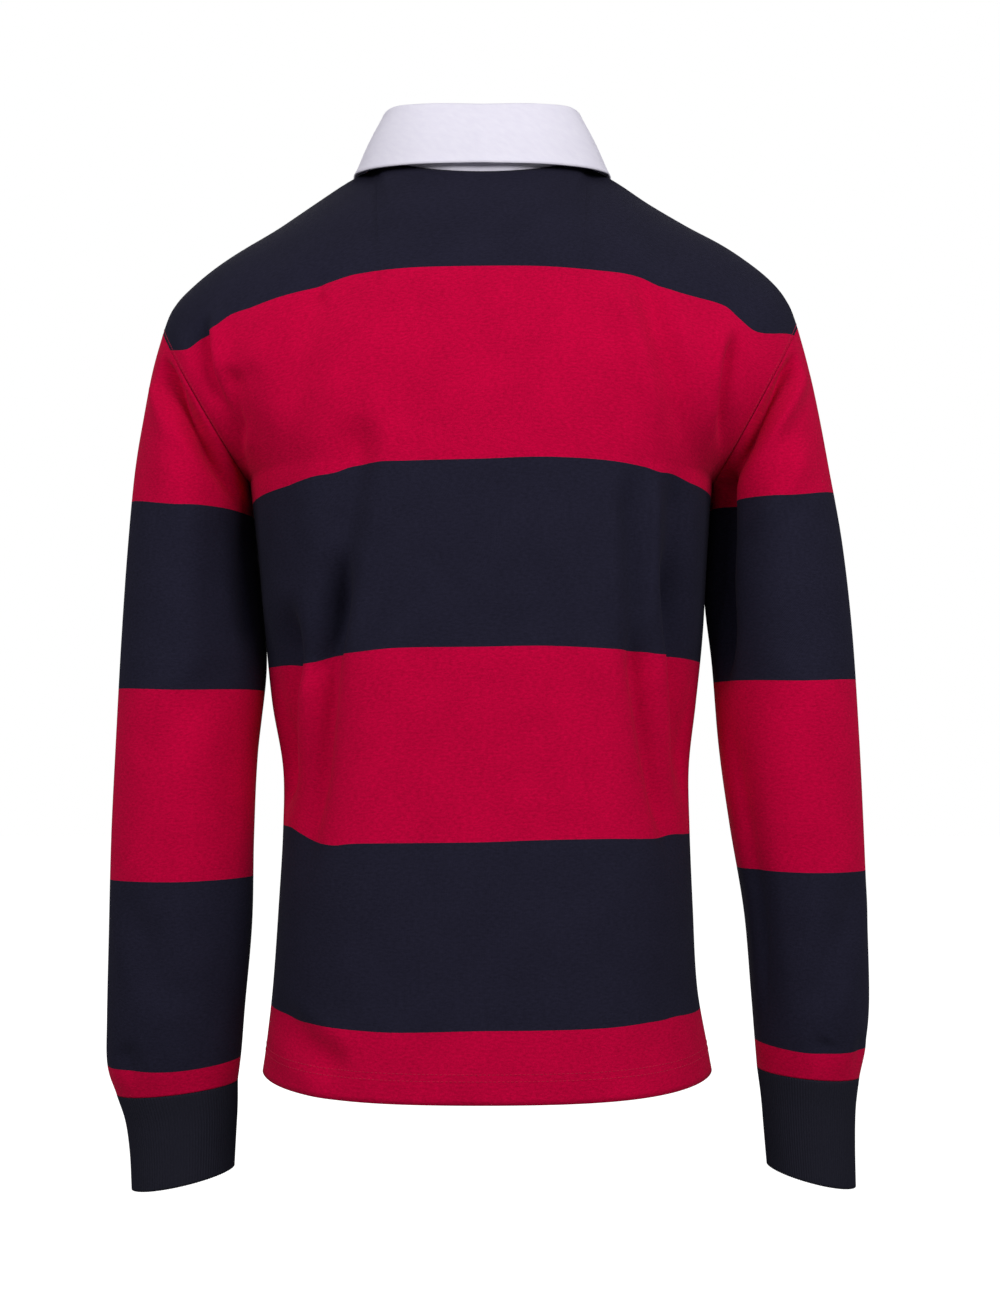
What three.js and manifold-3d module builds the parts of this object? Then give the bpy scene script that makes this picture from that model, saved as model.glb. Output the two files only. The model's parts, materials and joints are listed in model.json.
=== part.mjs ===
// Long-sleeved rugby shirt in the shape it takes when worn, hollow and with nobody in it.
// Millimetres, +Z up. The front faces -Y and the wearer's left arm is on +X. The origin lies
// midway between the two points where the neck seam meets the shoulder seams, at their height.
import * as THREE from 'three';
import { mergeVertices } from 'three/addons/utils/BufferGeometryUtils.js';
import Module from 'manifold-3d';

const wasm = await Module();
wasm.setup();

// Cloth and seams
const JERSEY = 1.6;
const RIB = 2.2;
const TWILL = 1.6;
const SEAM_GAP = 0.36;

// Driving dimensions of the body. Drops are measured down from the neck points.
const HEM_DROP = 752;
const HEM_DIP = -6;
const ARMPIT_DROP = 272;
const NECK_HALF = 86;
const BACK_NECK_DROP = 26;
const BACK_NECK_DEPTH = 56;
const FRONT_NECK_DROP = 92;
const FRONT_NECK_DEPTH = 86;
const SHOULDER_TIP = { left: { out: 262, drop: 148 }, right: { out: 260, drop: 143 } };
const NECK_SPREAD = 60;
const SHOULDER_ROUND = 10;
const PLACKET_HALF = 15;
const PLACKET_LAP = 1.5;
const PLACKET_TAIL = 14;
const UNDER_FROM_ROW = 1.004;

// Mesh steps
const NECK_STEPS = 5;
const SHOULDER_STEPS = 8;
const LOW_ROWS = 13;
const HIGH_ROWS = 11;
const SLEEVE_ROWS = 22;
const CUFF_ROWS = 3;
const COLLAR_STEPS = 20;
const PLACKET_COLUMNS = 4;
const RING_STEPS = 2 * HIGH_ROWS;

// How folds end: past their two ends, at a panel's side and top edges, and at a sleeve's end rings
const FOLD_PAST = 0.15;
const FOLD_FADE = 0.35;
const SIDE_CALM = 0.03;
const TOP_CALM = 0.2;
const CALM_RINGS = 3;

// A fold pushes a panel in, mostly front to back, and to the middle near its sides
const PUSH_ACROSS = 0.5;
const PUSH_LEAST = 0.3;

// Two walls are mitred at a seam where the cosine between them is above this, fully so over the next
const MITRE_FROM = -0.6;
const MITRE_OVER = 0.8;

// Plan sections of the body from the hem up: half width on each side, and depth behind and in front
const BODY = [
  { drop: 757, left: 177, right: 187, back: 131, front: 130, full: 0.09 },
  { drop: 729, left: 173, right: 182, back: 130, front: 130, full: 0.09 },
  { drop: 681, left: 168, right: 174, back: 128, front: 129, full: 0.10 },
  { drop: 617, left: 164, right: 171, back: 126, front: 128, full: 0.11 },
  { drop: 552, left: 161, right: 169, back: 124, front: 127, full: 0.11 },
  { drop: 505, left: 162, right: 169, back: 124, front: 128, full: 0.11 },
  { drop: 454, left: 171, right: 175, back: 126, front: 131, full: 0.11 },
  { drop: 400, left: 177, right: 181, back: 128, front: 134, full: 0.11 },
  { drop: 340, left: 183, right: 185, back: 130, front: 136, full: 0.11 },
  { drop: 272, left: 191, right: 190, back: 130, front: 135, full: 0.12 },
];

// Middle line of each panel above the armpits
const BACK_LINE = [
  { drop: 272, depth: 130 },
  { drop: 215, depth: 128 },
  { drop: 165, depth: 121 },
  { drop: 120, depth: 108 },
  { drop: 75, depth: 86 },
  { drop: 26, depth: 56 },
];
const FRONT_LINE = [
  { drop: 272, depth: 135 },
  { drop: 230, depth: 132 },
  { drop: 190, depth: 126 },
  { drop: 150, depth: 115 },
  { drop: 120, depth: 101 },
  { drop: 92, depth: 86 },
];

// Shoulder line from the neck point out to the sleeve, with its drop on each side
const SHOULDER = [
  { out: 86, left: 0, right: 0 },
  { out: 112, left: 14, right: 14 },
  { out: 140, left: 33, right: 33 },
  { out: 170, left: 54, right: 51 },
  { out: 200, left: 74, right: 68 },
  { out: 222, left: 91, right: 84 },
  { out: 241, left: 109, right: 101 },
  { out: 254, left: 125, right: 119 },
  { out: 262, left: 148, right: 143 },
];

// Rings of a sleeve from the armhole to the cuff seam. The outer and inner points lie on the side
// away from the body and next to it, on the left (L) and right (R) sleeve. Middle is how far
// behind the shoulder the ring sits, and tuck is how far its body side is drawn to the front.
const SLEEVE = [
  { outL: 262, outR: 260, outDrop: 148, inL: 191.6, inR: 190.6, inDrop: 271.6, depth: 84, middle: 0, tuck: 0 },
  { outL: 270, outR: 269, outDrop: 180, inL: 190.8, inR: 190.4, inDrop: 282, depth: 80, middle: 4, tuck: 8 },
  { outL: 276, outR: 276, outDrop: 218, inL: 188.9, inR: 189.2, inDrop: 299, depth: 75, middle: 9, tuck: 14 },
  { outL: 282, outR: 283, outDrop: 265, inL: 185.7, inR: 187.3, inDrop: 326, depth: 69, middle: 15, tuck: 20 },
  { outL: 286, outR: 292, outDrop: 328, inL: 181.3, inR: 184.6, inDrop: 368, depth: 63, middle: 21, tuck: 25 },
  { outL: 289, outR: 298, outDrop: 402, inL: 176.6, inR: 189, inDrop: 424, depth: 59, middle: 26, tuck: 22 },
  { outL: 292, outR: 302, outDrop: 487, inL: 181.5, inR: 192.5, inDrop: 495, depth: 56, middle: 27, tuck: 12 },
  { outL: 295, outR: 305, outDrop: 560, inL: 183, inR: 200, inDrop: 560, depth: 54, middle: 24, tuck: 4 },
  { outL: 297, outR: 308, outDrop: 635, inL: 184, inR: 211, inDrop: 630, depth: 52, middle: 18, tuck: 0 },
  { outL: 299, outR: 310, outDrop: 705, inL: 190, inR: 217, inDrop: 697, depth: 50, middle: 11, tuck: 0 },
  { outL: 299, outR: 307, outDrop: 742, inL: 193, inR: 220, inDrop: 733, depth: 47, middle: 7, tuck: 0 },
  { outL: 292, outR: 303, outDrop: 766, inL: 196, inR: 222, inDrop: 756, depth: 42, middle: 4, tuck: 0 },
];

// The right sleeve hangs a little higher, by a rise that grows down its outer and inner points
// and is lost again along the cuff
const RISE = { most: 14, outFrom: 150, outOver: 600, inFrom: 300, inOver: 200, inShare: 0.72 };
const RISE_LOST = 0.28;

// Rings of a cuff from its seam to its open end
const CUFF = [
  { outL: 292, outR: 303, outDrop: 766, inL: 196, inR: 222, inDrop: 756, depth: 42, middle: 4, tuck: 0 },
  { outL: 285, outR: 300, outDrop: 787, inL: 196, inR: 225, inDrop: 777, depth: 38, middle: 3, tuck: 0 },
  { outL: 281, outR: 299, outDrop: 812, inL: 197, inR: 227, inDrop: 801, depth: 37, middle: 3, tuck: 0 },
  { outL: 279, outR: 299, outDrop: 840, inL: 198, inR: 229, inDrop: 824, depth: 38, middle: 3, tuck: 0 },
];

// Largest folds of the panels, each a soft trough (or a ridge where deep is negative) between
// two places given by their distance across and their drop
const BACK_FOLDS = [
  { x1: 216, drop1: 158, x2: 190, drop2: 262, wide: 17, deep: 6 },
  { x1: 91, drop1: 247, x2: 106, drop2: 338, wide: 22, deep: 5 },
  { x1: 110, drop1: 345, x2: 132, drop2: 562, wide: 24, deep: 11 },
  { x1: -125, drop1: 128, x2: -162, drop2: 268, wide: 20, deep: 5 },
  { x1: -150, drop1: 285, x2: -149, drop2: 405, wide: 20, deep: 6 },
  { x1: -120, drop1: 400, x2: -147, drop2: 562, wide: 22, deep: 9 },
  { x1: -190, drop1: 165, x2: -181, drop2: 250, wide: 16, deep: -5 },
  { x1: 158, drop1: 690, x2: 100, drop2: 728, wide: 20, deep: 4 },
];
const FRONT_FOLDS = [
  { x1: 160, drop1: 205, x2: 105, drop2: 520, wide: 26, deep: 7 },
  { x1: -166, drop1: 215, x2: -116, drop2: 480, wide: 24, deep: 7 },
  { x1: 60, drop1: 420, x2: 88, drop2: 690, wide: 26, deep: 6 },
  { x1: -52, drop1: 500, x2: -66, drop2: 705, wide: 26, deep: 5 },
  { x1: 118, drop1: 400, x2: 140, drop2: 548, wide: 20, deep: 5 },
  { x1: -116, drop1: 390, x2: -146, drop2: 555, wide: 20, deep: 5 },
];

// Largest folds of the sleeves. Turn is in degrees from the body side, round the back.
const SLEEVE_FOLDS = [
  { turn1: 50, drop1: 235, turn2: 118, drop2: 330, wide: 22, deep: 6 },
  { turn1: 300, drop1: 240, turn2: 235, drop2: 350, wide: 22, deep: 6 },
  { turn1: 40, drop1: 430, turn2: 95, drop2: 520, wide: 20, deep: 4 },
  { turn1: 320, drop1: 440, turn2: 262, drop2: 505, wide: 20, deep: 5 },
  { turn1: 130, drop1: 600, turn2: 80, drop2: 690, wide: 18, deep: 3.5 },
];

// Collar: the fold line along its top and the lower edge of the leaf, from the middle of the
// back (share 0) to the front end (share 1)
const COLLAR_TOP = [
  { share: 0, x: 0, y: 47, z: 32 },
  { share: 0.18, x: 46, y: 43, z: 34 },
  { share: 0.34, x: 76, y: 24, z: 37 },
  { share: 0.5, x: 80, y: -8, z: 28 },
  { share: 0.68, x: 66, y: -46, z: -2 },
  { share: 0.84, x: 36, y: -73, z: -38 },
  { share: 1, x: 3, y: -84, z: -56 },
];
const COLLAR_EDGE = [
  { share: 0, x: 0, y: 61, z: -21 },
  { share: 0.18, x: 58, y: 50, z: -18.5 },
  { share: 0.34, x: 97, y: 24, z: -14 },
  { share: 0.5, x: 108, y: -10, z: -11 },
  { share: 0.68, x: 105, y: -48, z: -35 },
  { share: 0.84, x: 83, y: -84, z: -78 },
  { share: 1, x: 48, y: -112, z: -125 },
];

// Collar: the parting of its ends as an angle, half the thickness of its fold, how far its seam
// stands in from the neck and rises to the front, and how far the leaf bows out at two places
const COLLAR_PARTING = 0.05;
const FOLD_HALF = 2.4;
const COLLAR_AIM = 10;
const COLLAR_SEAT = 0.2;
const COLLAR_RISE = 0.6;
const LEAF_BOW = 1.5;
const BOW_PLACES = [0.35, 0.7];

// Buttons
const BUTTON = { radius: 5.6, thick: 3, rim: 1.3, edge: 0.6, dish: 0.8, sides: 20 };
const HOLE = { radius: 0.8, out: 1.7, sides: 6, count: 4 };
const BUTTON_DROPS = [108, 168, 228];

const RED = 0xb5063a;
const NAVY = 0x23222f;
const WHITE = 0xece9f5;

const clamp01 = (value) => Math.min(1, Math.max(0, value));
const ease = (value) => clamp01(value) ** 2 * (3 - 2 * clamp01(value));

// Smooth curve through a table's rows: the value of a column where another column has a given size
function along(table, key, at, column) {
  const rising = table[table.length - 1][key] > table[0][key] ? 1 : -1;
  let row = 0;
  while (row < table.length - 2 && (table[row + 1][key] - at) * rising < 0) row += 1;
  const before = table[Math.max(row - 1, 0)];
  const low = table[row];
  const high = table[row + 1];
  const after = table[Math.min(row + 2, table.length - 1)];
  const span = high[key] - low[key];
  const t = (at - low[key]) / span;
  const slopeLow = (high[column] - before[column]) / (high[key] - before[key]) * span;
  const slopeHigh = (after[column] - low[column]) / (after[key] - low[key]) * span;
  const t2 = t * t;
  const t3 = t2 * t;
  return (2 * t3 - 3 * t2 + 1) * low[column] + (t3 - 2 * t2 + t) * slopeLow
    + (3 * t2 - 2 * t3) * high[column] + (t3 - t2) * slopeHigh;
}

// How far a point lies inside the folds of a table: a cosine trough that fades at its ends
function foldDepth(folds, across, drop, keys) {
  let depth = 0;
  for (const fold of folds) {
    const runX = fold[keys[1]] - fold[keys[0]];
    const runZ = fold.drop2 - fold.drop1;
    const length = Math.hypot(runX, runZ);
    const share = ((across - fold[keys[0]]) * runX + (drop - fold.drop1) * runZ) / length ** 2;
    const aside = Math.abs((across - fold[keys[0]]) * runZ - (drop - fold.drop1) * runX) / length;
    const fade = ease((share + FOLD_PAST) / FOLD_FADE) * ease((1 + FOLD_PAST - share) / FOLD_FADE);
    const bell = 0.5 + 0.5 * Math.cos(Math.PI * aside / fold.wide);
    if (aside < fold.wide) depth += fold.deep * fade * bell;
  }
  return depth;
}

// Point of a ring at a turn from its inner point (0), round the back (90 degrees), to its outer
// point (180 degrees) and back round the front
function ringPoint(ring, side, turn) {
  const out = side > 0 ? ring.outL : ring.outR;
  const inner = side > 0 ? ring.inL : ring.inR;
  const x = (out + inner) / 2 - (out - inner) / 2 * Math.cos(turn);
  const drop = (ring.outDrop + ring.inDrop) / 2 - (ring.outDrop - ring.inDrop) / 2 * Math.cos(turn);
  const y = ring.middle + ring.depth * Math.sin(turn) - ring.tuck * Math.max(Math.cos(turn), 0) ** 2;
  return new THREE.Vector3(side * x, y, -drop);
}

// The armhole is the sleeve's first ring. A panel has half of it, from armpit to shoulder tip.
function armholePoint(side, face, share) {
  const tip = side > 0 ? SHOULDER_TIP.left : SHOULDER_TIP.right;
  const point = ringPoint({ ...SLEEVE[0], outDrop: tip.drop }, side, Math.PI * share);
  return new THREE.Vector3(point.x, face * point.y, point.z);
}

// Top edge of a panel over a distance from the middle: neck seam, then shoulder seam
function topEdge(side, face, x) {
  if (x <= NECK_HALF) {
    const level = Math.sqrt(Math.max(0, 1 - (x / NECK_HALF) ** 2));
    const depth = face > 0 ? BACK_NECK_DEPTH : FRONT_NECK_DEPTH;
    const drop = face > 0 ? BACK_NECK_DROP : FRONT_NECK_DROP;
    return new THREE.Vector3(side * x, face * depth * level, -drop * level ** 1.5);
  }
  const reach = side > 0 ? SHOULDER_TIP.left.out : SHOULDER_TIP.right.out;
  const tableReach = SHOULDER[SHOULDER.length - 1].out;
  const out = NECK_HALF + (x - NECK_HALF) * (tableReach - NECK_HALF) / (reach - NECK_HALF);
  return new THREE.Vector3(side * x, 0, -along(SHOULDER, 'out', out, side > 0 ? 'left' : 'right'));
}

// How far the top edge lies from a plain curve between the neck and the shoulder tip. It is
// averaged over a spread, so that the corner at the neck point fades out down the panel.
function topLift(side, face, x, spread) {
  const tip = side > 0 ? SHOULDER_TIP.left : SHOULDER_TIP.right;
  const depth = face > 0 ? BACK_NECK_DEPTH : FRONT_NECK_DEPTH;
  const drop = face > 0 ? BACK_NECK_DROP : FRONT_NECK_DROP;
  const lift = new THREE.Vector3();
  for (const [shift, weight] of [[-spread, 0.25], [0, 0.5], [spread, 0.25]]) {
    const at = Math.min(Math.abs(x + shift), tip.out);
    const cosine = Math.sqrt(1 - (at / tip.out) ** 2);
    const level = topEdge(side, face, at);
    lift.y += weight * (level.y - face * depth * cosine);
    lift.z += weight * (level.z + tip.drop - (tip.drop - drop) * cosine);
  }
  return lift;
}

// Side edge of a panel: the side seam up to the armpit (row 1), then the armhole up to row 2
function sideEdge(side, face, row) {
  if (row > 1) return armholePoint(side, face, row - 1);
  const drop = HEM_DROP + HEM_DIP + (ARMPIT_DROP - HEM_DROP - HEM_DIP) * row;
  return new THREE.Vector3(side * along(BODY, 'drop', drop, side > 0 ? 'left' : 'right'), 0, -drop);
}

// A point of a panel. Row runs 0 at the hem, 1 at the armpits, 2 at the neck and shoulders;
// turn runs from 0 at the middle to 90 degrees at the side edge.
function panelPoint(side, face, turn, row) {
  const edge = sideEdge(side, face, row);
  const line = face > 0 ? BACK_LINE : FRONT_LINE;
  const column = face > 0 ? 'back' : 'front';
  const high = Math.max(row - 1, 0);
  const top = line[line.length - 1].drop;
  const drop = row > 1
    ? ARMPIT_DROP + (top - ARMPIT_DROP) * high
    : HEM_DROP + (ARMPIT_DROP - HEM_DROP) * row;
  const depth = row > 1 ? along(line, 'drop', drop, 'depth') : along(BODY, 'drop', drop, column);
  const full = row > 1 ? BODY[BODY.length - 1].full * (1 - high) : along(BODY, 'drop', drop, 'full');
  const sine = Math.sin(turn);
  const cosine = Math.cos(turn);
  const y = face * edge.y + (depth - face * edge.y) * cosine + depth * full * Math.sin(2 * turn) ** 2;
  const z = edge.z + (-drop - edge.z) * cosine;
  const point = new THREE.Vector3(edge.x * sine, face * y, z);
  if (row > 1) {
    const tip = side > 0 ? SHOULDER_TIP.left : SHOULDER_TIP.right;
    const at = tip.out * sine;
    const lift = topLift(side, face, at, Math.min(NECK_SPREAD * (1 - high), tip.out - at));
    point.y += lift.y * high ** 3;
    point.z += lift.z * high ** 2;
    point.z += SHOULDER_ROUND * Math.sin(Math.PI * high ** 2) * Math.sin(2 * turn) ** 2;
  }
  const folds = face > 0 ? BACK_FOLDS : FRONT_FOLDS;
  const calm = ease((1 - sine) / SIDE_CALM) * ease((2 - row) / TOP_CALM);
  const push = calm * foldDepth(folds, point.x, -point.z, ['x1', 'x2']);
  point.x -= push * side * sine * PUSH_ACROSS;
  point.y -= push * face * Math.max(cosine, PUSH_LEAST);
  return point;
}

// Turns of the columns on one side: neck columns, with one at the placket, then shoulder columns
function columnTurns(side, row) {
  const tipX = side > 0 ? SHOULDER_TIP.left.out : SHOULDER_TIP.right.out;
  const slot = Math.asin(PLACKET_HALF / Math.abs(sideEdge(side, 1, row).x));
  const slotTop = Math.asin(PLACKET_HALF / NECK_HALF);
  const turns = [0, slot];
  for (let step = 1; step <= NECK_STEPS; step += 1) {
    const round = slotTop + (Math.PI / 2 - slotTop) * step / NECK_STEPS;
    turns.push(Math.asin(NECK_HALF * Math.sin(round) / tipX));
  }
  const neck = turns[turns.length - 1];
  for (let step = 1; step <= SHOULDER_STEPS; step += 1) {
    turns.push(neck + (Math.PI / 2 - neck) * step / SHOULDER_STEPS);
  }
  return turns;
}

// Grid of a panel's outer points, from the right side edge across the middle to the left
function panelGrid(face) {
  const grid = [];
  const rows = LOW_ROWS + HIGH_ROWS;
  for (let index = 0; index <= rows; index += 1) {
    const row = index <= LOW_ROWS ? index / LOW_ROWS : 1 + (index - LOW_ROWS) / HIGH_ROWS;
    const right = columnTurns(-1, row).reverse().map((turn) => panelPoint(-1, face, turn, row));
    const left = columnTurns(1, row).slice(1).map((turn) => panelPoint(1, face, turn, row));
    grid.push([...right, ...left]);
  }
  for (const line of grid) for (const point of line) point.y += face * SEAM_GAP / 2;
  return grid;
}

// Normals of a grid from its neighbours, with the columns joined up where the grid is a tube
function gridNormals(grid, tube, flip) {
  const rows = grid.length;
  const columns = grid[0].length;
  return grid.map((line, i) => line.map((point, j) => {
    const before = tube ? (j + columns - 1) % columns : Math.max(j - 1, 0);
    const after = tube ? (j + 1) % columns : Math.min(j + 1, columns - 1);
    const across = line[after].clone().sub(line[before]);
    const up = grid[Math.min(i + 1, rows - 1)][j].clone().sub(grid[Math.max(i - 1, 0)][j]);
    return across.cross(up).multiplyScalar(flip).normalize();
  }));
}

// A closed wall of cloth: the grid's outer points, the same points moved in by the thickness, and
// an edge all round. Cells that the mask leaves out stay open.
function clothWall(grid, normals, thickness, tube, flip, kept = () => true) {
  const rows = grid.length;
  const columns = grid[0].length;
  const positions = [];
  for (const depth of [0, thickness]) {
    grid.forEach((line, i) => line.forEach((point, j) => {
      const at = point.clone().addScaledVector(normals[i][j], -depth);
      positions.push(at.x, at.y, at.z);
    }));
  }
  const size = rows * columns;
  const cells = tube ? columns : columns - 1;
  const index = (i, j, layer) => layer * size + i * columns + (j % columns);
  const filled = (i, j) => {
    if (i < 0 || i >= rows - 1) return false;
    if (tube) return kept(i, (j + cells) % cells);
    return j >= 0 && j < cells && kept(i, j);
  };
  const faces = [];
  const quad = (a, b, c, d) => {
    if (flip > 0) faces.push(a, b, c, a, c, d);
    else faces.push(a, c, b, a, d, c);
  };
  for (let i = 0; i < rows - 1; i += 1) {
    for (let j = 0; j < cells; j += 1) {
      if (!filled(i, j)) continue;
      const corner = [[i, j], [i, j + 1], [i + 1, j + 1], [i + 1, j]];
      const [a, b, c, d] = corner.map(([p, q]) => index(p, q, 0));
      const [e, f, g, h] = corner.map(([p, q]) => index(p, q, 1));
      quad(a, b, c, d);
      quad(e, h, g, f);
      if (!filled(i - 1, j)) quad(a, e, f, b);
      if (!filled(i, j + 1)) quad(b, f, g, c);
      if (!filled(i + 1, j)) quad(c, g, h, d);
      if (!filled(i, j - 1)) quad(d, h, e, a);
    }
  }
  return compact(positions, faces);
}

// Geometry with only the points that its faces use
function compact(positions, faces) {
  const renumber = new Map();
  const points = [];
  const triangles = faces.map((old) => {
    if (!renumber.has(old)) {
      renumber.set(old, points.length / 3);
      points.push(positions[3 * old], positions[3 * old + 1], positions[3 * old + 2]);
    }
    return renumber.get(old);
  });
  const geometry = new THREE.BufferGeometry();
  geometry.setAttribute('position', new THREE.Float32BufferAttribute(points, 3));
  geometry.setIndex(triangles);
  return geometry;
}

// A ring between the rows of a sleeve's or cuff's table. Place 0 is the first row.
function ringAt(table, side, place) {
  const ring = {};
  const rows = table.map((row, order) => ({ ...row, order }));
  for (const key of Object.keys(table[0])) ring[key] = along(rows, 'order', place, key);
  if (side < 0) {
    const kept = table === CUFF ? 1 - RISE_LOST * place : 1;
    const rise = kept * RISE.most * ease((ring.outDrop - RISE.outFrom) / RISE.outOver);
    ring.outDrop -= rise;
    ring.inDrop -= rise * RISE.inShare * ease((ring.inDrop - RISE.inFrom) / RISE.inOver);
  }
  return ring;
}

// Grid of a sleeve's or cuff's outer points, ring by ring
function tubeGrid(table, side, rows, folds) {
  const grid = [];
  for (let index = 0; index <= rows; index += 1) {
    const ring = ringAt(table, side, (table.length - 1) * index / rows);
    if (table === SLEEVE && side < 0 && index === 0) ring.outDrop = SHOULDER_TIP.right.drop;
    const calm = ease(index / CALM_RINGS) * ease((rows - index) / CALM_RINGS);
    const line = [];
    for (let step = 0; step < RING_STEPS; step += 1) {
      const turn = 2 * Math.PI * step / RING_STEPS;
      const point = ringPoint(ring, side, turn);
      const centre = ringPoint({ ...ring, depth: 0 }, side, Math.PI / 2);
      const push = calm * foldDepth(folds, turn * 180 / Math.PI, -point.z, ['turn1', 'turn2']);
      point.addScaledVector(centre.sub(point).setZ(0).normalize(), push);
      line.push(point);
    }
    grid.push(line);
  }
  return grid;
}

const group = new THREE.Group();

function addMesh(name, geometry, color, roughness) {
  const material = new THREE.MeshStandardMaterial({ color, roughness, metalness: 0 });
  const mesh = new THREE.Mesh(geometry, material);
  mesh.name = name;
  group.add(mesh);
}

const panels = { back: panelGrid(1), front: panelGrid(-1) };
const panelNormals = {
  back: gridNormals(panels.back, false, -1),
  front: gridNormals(panels.front, false, 1),
};
const sleeves = {
  left: tubeGrid(SLEEVE, 1, SLEEVE_ROWS, SLEEVE_FOLDS),
  right: tubeGrid(SLEEVE, -1, SLEEVE_ROWS, SLEEVE_FOLDS),
};
const sleeveNormals = {
  left: gridNormals(sleeves.left, true, 1),
  right: gridNormals(sleeves.right, true, -1),
};

// The walls on the two sides of a seam are cut along the plane between them
function matchSeams() {
  const flatten = (normal) => normal.setY(0).normalize();
  for (const face of ['back', 'front']) {
    const normals = panelNormals[face];
    const last = normals[0].length - 1;
    for (let row = 0; row <= LOW_ROWS; row += 1) {
      flatten(normals[row][0]);
      flatten(normals[row][last]);
    }
    const top = panels[face].length - 1;
    normals[top].forEach((normal, column) => {
      if (Math.abs(panels[face][top][column].x) > NECK_HALF - SEAM_GAP) flatten(normal);
    });
    for (const part of ['left', 'right']) {
      const column = part === 'left' ? last : 0;
      for (let step = 1; step <= HIGH_ROWS; step += 1) {
        const turn = face === 'back' ? step : (RING_STEPS - step) % RING_STEPS;
        const own = normals[LOW_ROWS + step][column];
        const other = sleeveNormals[part][0][turn];
        const middle = own.clone().add(other).normalize();
        const share = ease((own.dot(other) - MITRE_FROM) / MITRE_OVER);
        own.lerp(middle, share).normalize();
        other.lerp(middle, share).normalize();
        if (step === HIGH_ROWS) {
          flatten(own);
          other.copy(own);
        }
      }
    }
  }
}

// The sleeve's first ring stands off the armhole by the seam's gap
function standOff(part) {
  const side = part === 'left' ? 1 : -1;
  const ring = sleeves[part][0];
  const across = ring[HIGH_ROWS].clone().sub(ring[0]);
  const away = new THREE.Vector3(across.z, 0, -across.x).normalize();
  if (away.x * side < 0) away.negate();
  for (const point of ring) point.addScaledVector(away, SEAM_GAP);
}

matchSeams();
standOff('left');
standOff('right');

// The column pair of the front panel that the placket's slot takes out, above the armpit row
const SLOT_COLUMN = NECK_STEPS + SHOULDER_STEPS;
const slotCell = (i, j) => !(i >= LOW_ROWS && (j === SLOT_COLUMN || j === SLOT_COLUMN + 1));

// A strip of the front panel's surface at a given width, moved out by a height
function placketGrid(half, fromRow, out) {
  const grid = [];
  for (let index = 0; index <= HIGH_ROWS; index += 1) {
    const row = fromRow + (2 - fromRow) * index / HIGH_ROWS;
    const line = [];
    for (let step = 0; step <= PLACKET_COLUMNS; step += 1) {
      const x = half * (2 * step / PLACKET_COLUMNS - 1);
      const side = x < 0 ? -1 : 1;
      const turn = Math.asin(Math.abs(x) / Math.abs(sideEdge(side, -1, row).x));
      const point = panelPoint(side, -1, turn, row);
      point.y -= SEAM_GAP / 2;
      line.push(point);
    }
    grid.push(line);
  }
  const normals = gridNormals(grid, false, 1);
  grid.forEach((line, i) => line.forEach((point, j) => point.addScaledVector(normals[i][j], out)));
  return { grid, normals };
}

// Collar surface that shows: up the neck side of the stand, over the fold, down the leaf
function collarGrid() {
  const grid = [];
  for (let step = -COLLAR_STEPS; step <= COLLAR_STEPS; step += 1) {
    const share = Math.abs(step) / COLLAR_STEPS;
    const side = step < 0 ? -1 : 1;
    const round = share * (Math.PI - COLLAR_PARTING);
    const face = round < Math.PI / 2 ? 1 : -1;
    const seam = topEdge(side, face, NECK_HALF * Math.sin(round));
    const pick = (table) => new THREE.Vector3(
      side * along(table, 'share', share, 'x'),
      along(table, 'share', share, 'y'),
      along(table, 'share', share, 'z'),
    );
    const top = pick(COLLAR_TOP);
    const edge = pick(COLLAR_EDGE);
    const inward = new THREE.Vector3(-seam.x, -seam.y - COLLAR_AIM, 0).normalize();
    const base = seam.clone().addScaledVector(inward, TWILL + COLLAR_SEAT);
    base.z += SEAM_GAP + COLLAR_RISE * share;
    const out = new THREE.Vector3(edge.x - top.x, edge.y - top.y, 0).normalize();
    const near = top.clone().addScaledVector(out, -FOLD_HALF).setZ(top.z - FOLD_HALF);
    const far = top.clone().addScaledVector(out, FOLD_HALF).setZ(top.z - FOLD_HALF);
    const leaf = BOW_PLACES.map((at) => far.clone().lerp(edge, at).addScaledVector(out, LEAF_BOW));
    grid.push([base, base.clone().lerp(near, 0.5), near, top, far, ...leaf, edge]);
  }
  return grid;
}

const toSolid = (geometry) => {
  const plain = geometry.clone();
  plain.deleteAttribute('normal');
  plain.deleteAttribute('uv');
  const merged = mergeVertices(plain, 1e-4);
  const vertProperties = new Float32Array(merged.attributes.position.array);
  const triVerts = new Uint32Array(merged.index.array);
  return new wasm.Manifold(new wasm.Mesh({ numProp: 3, vertProperties, triVerts }));
};

const toGeometry = (solid) => {
  const mesh = solid.getMesh();
  const geometry = new THREE.BufferGeometry();
  geometry.setAttribute('position', new THREE.BufferAttribute(new Float32Array(mesh.vertProperties), 3));
  geometry.setIndex(Array.from(mesh.triVerts));
  return geometry;
};

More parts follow.
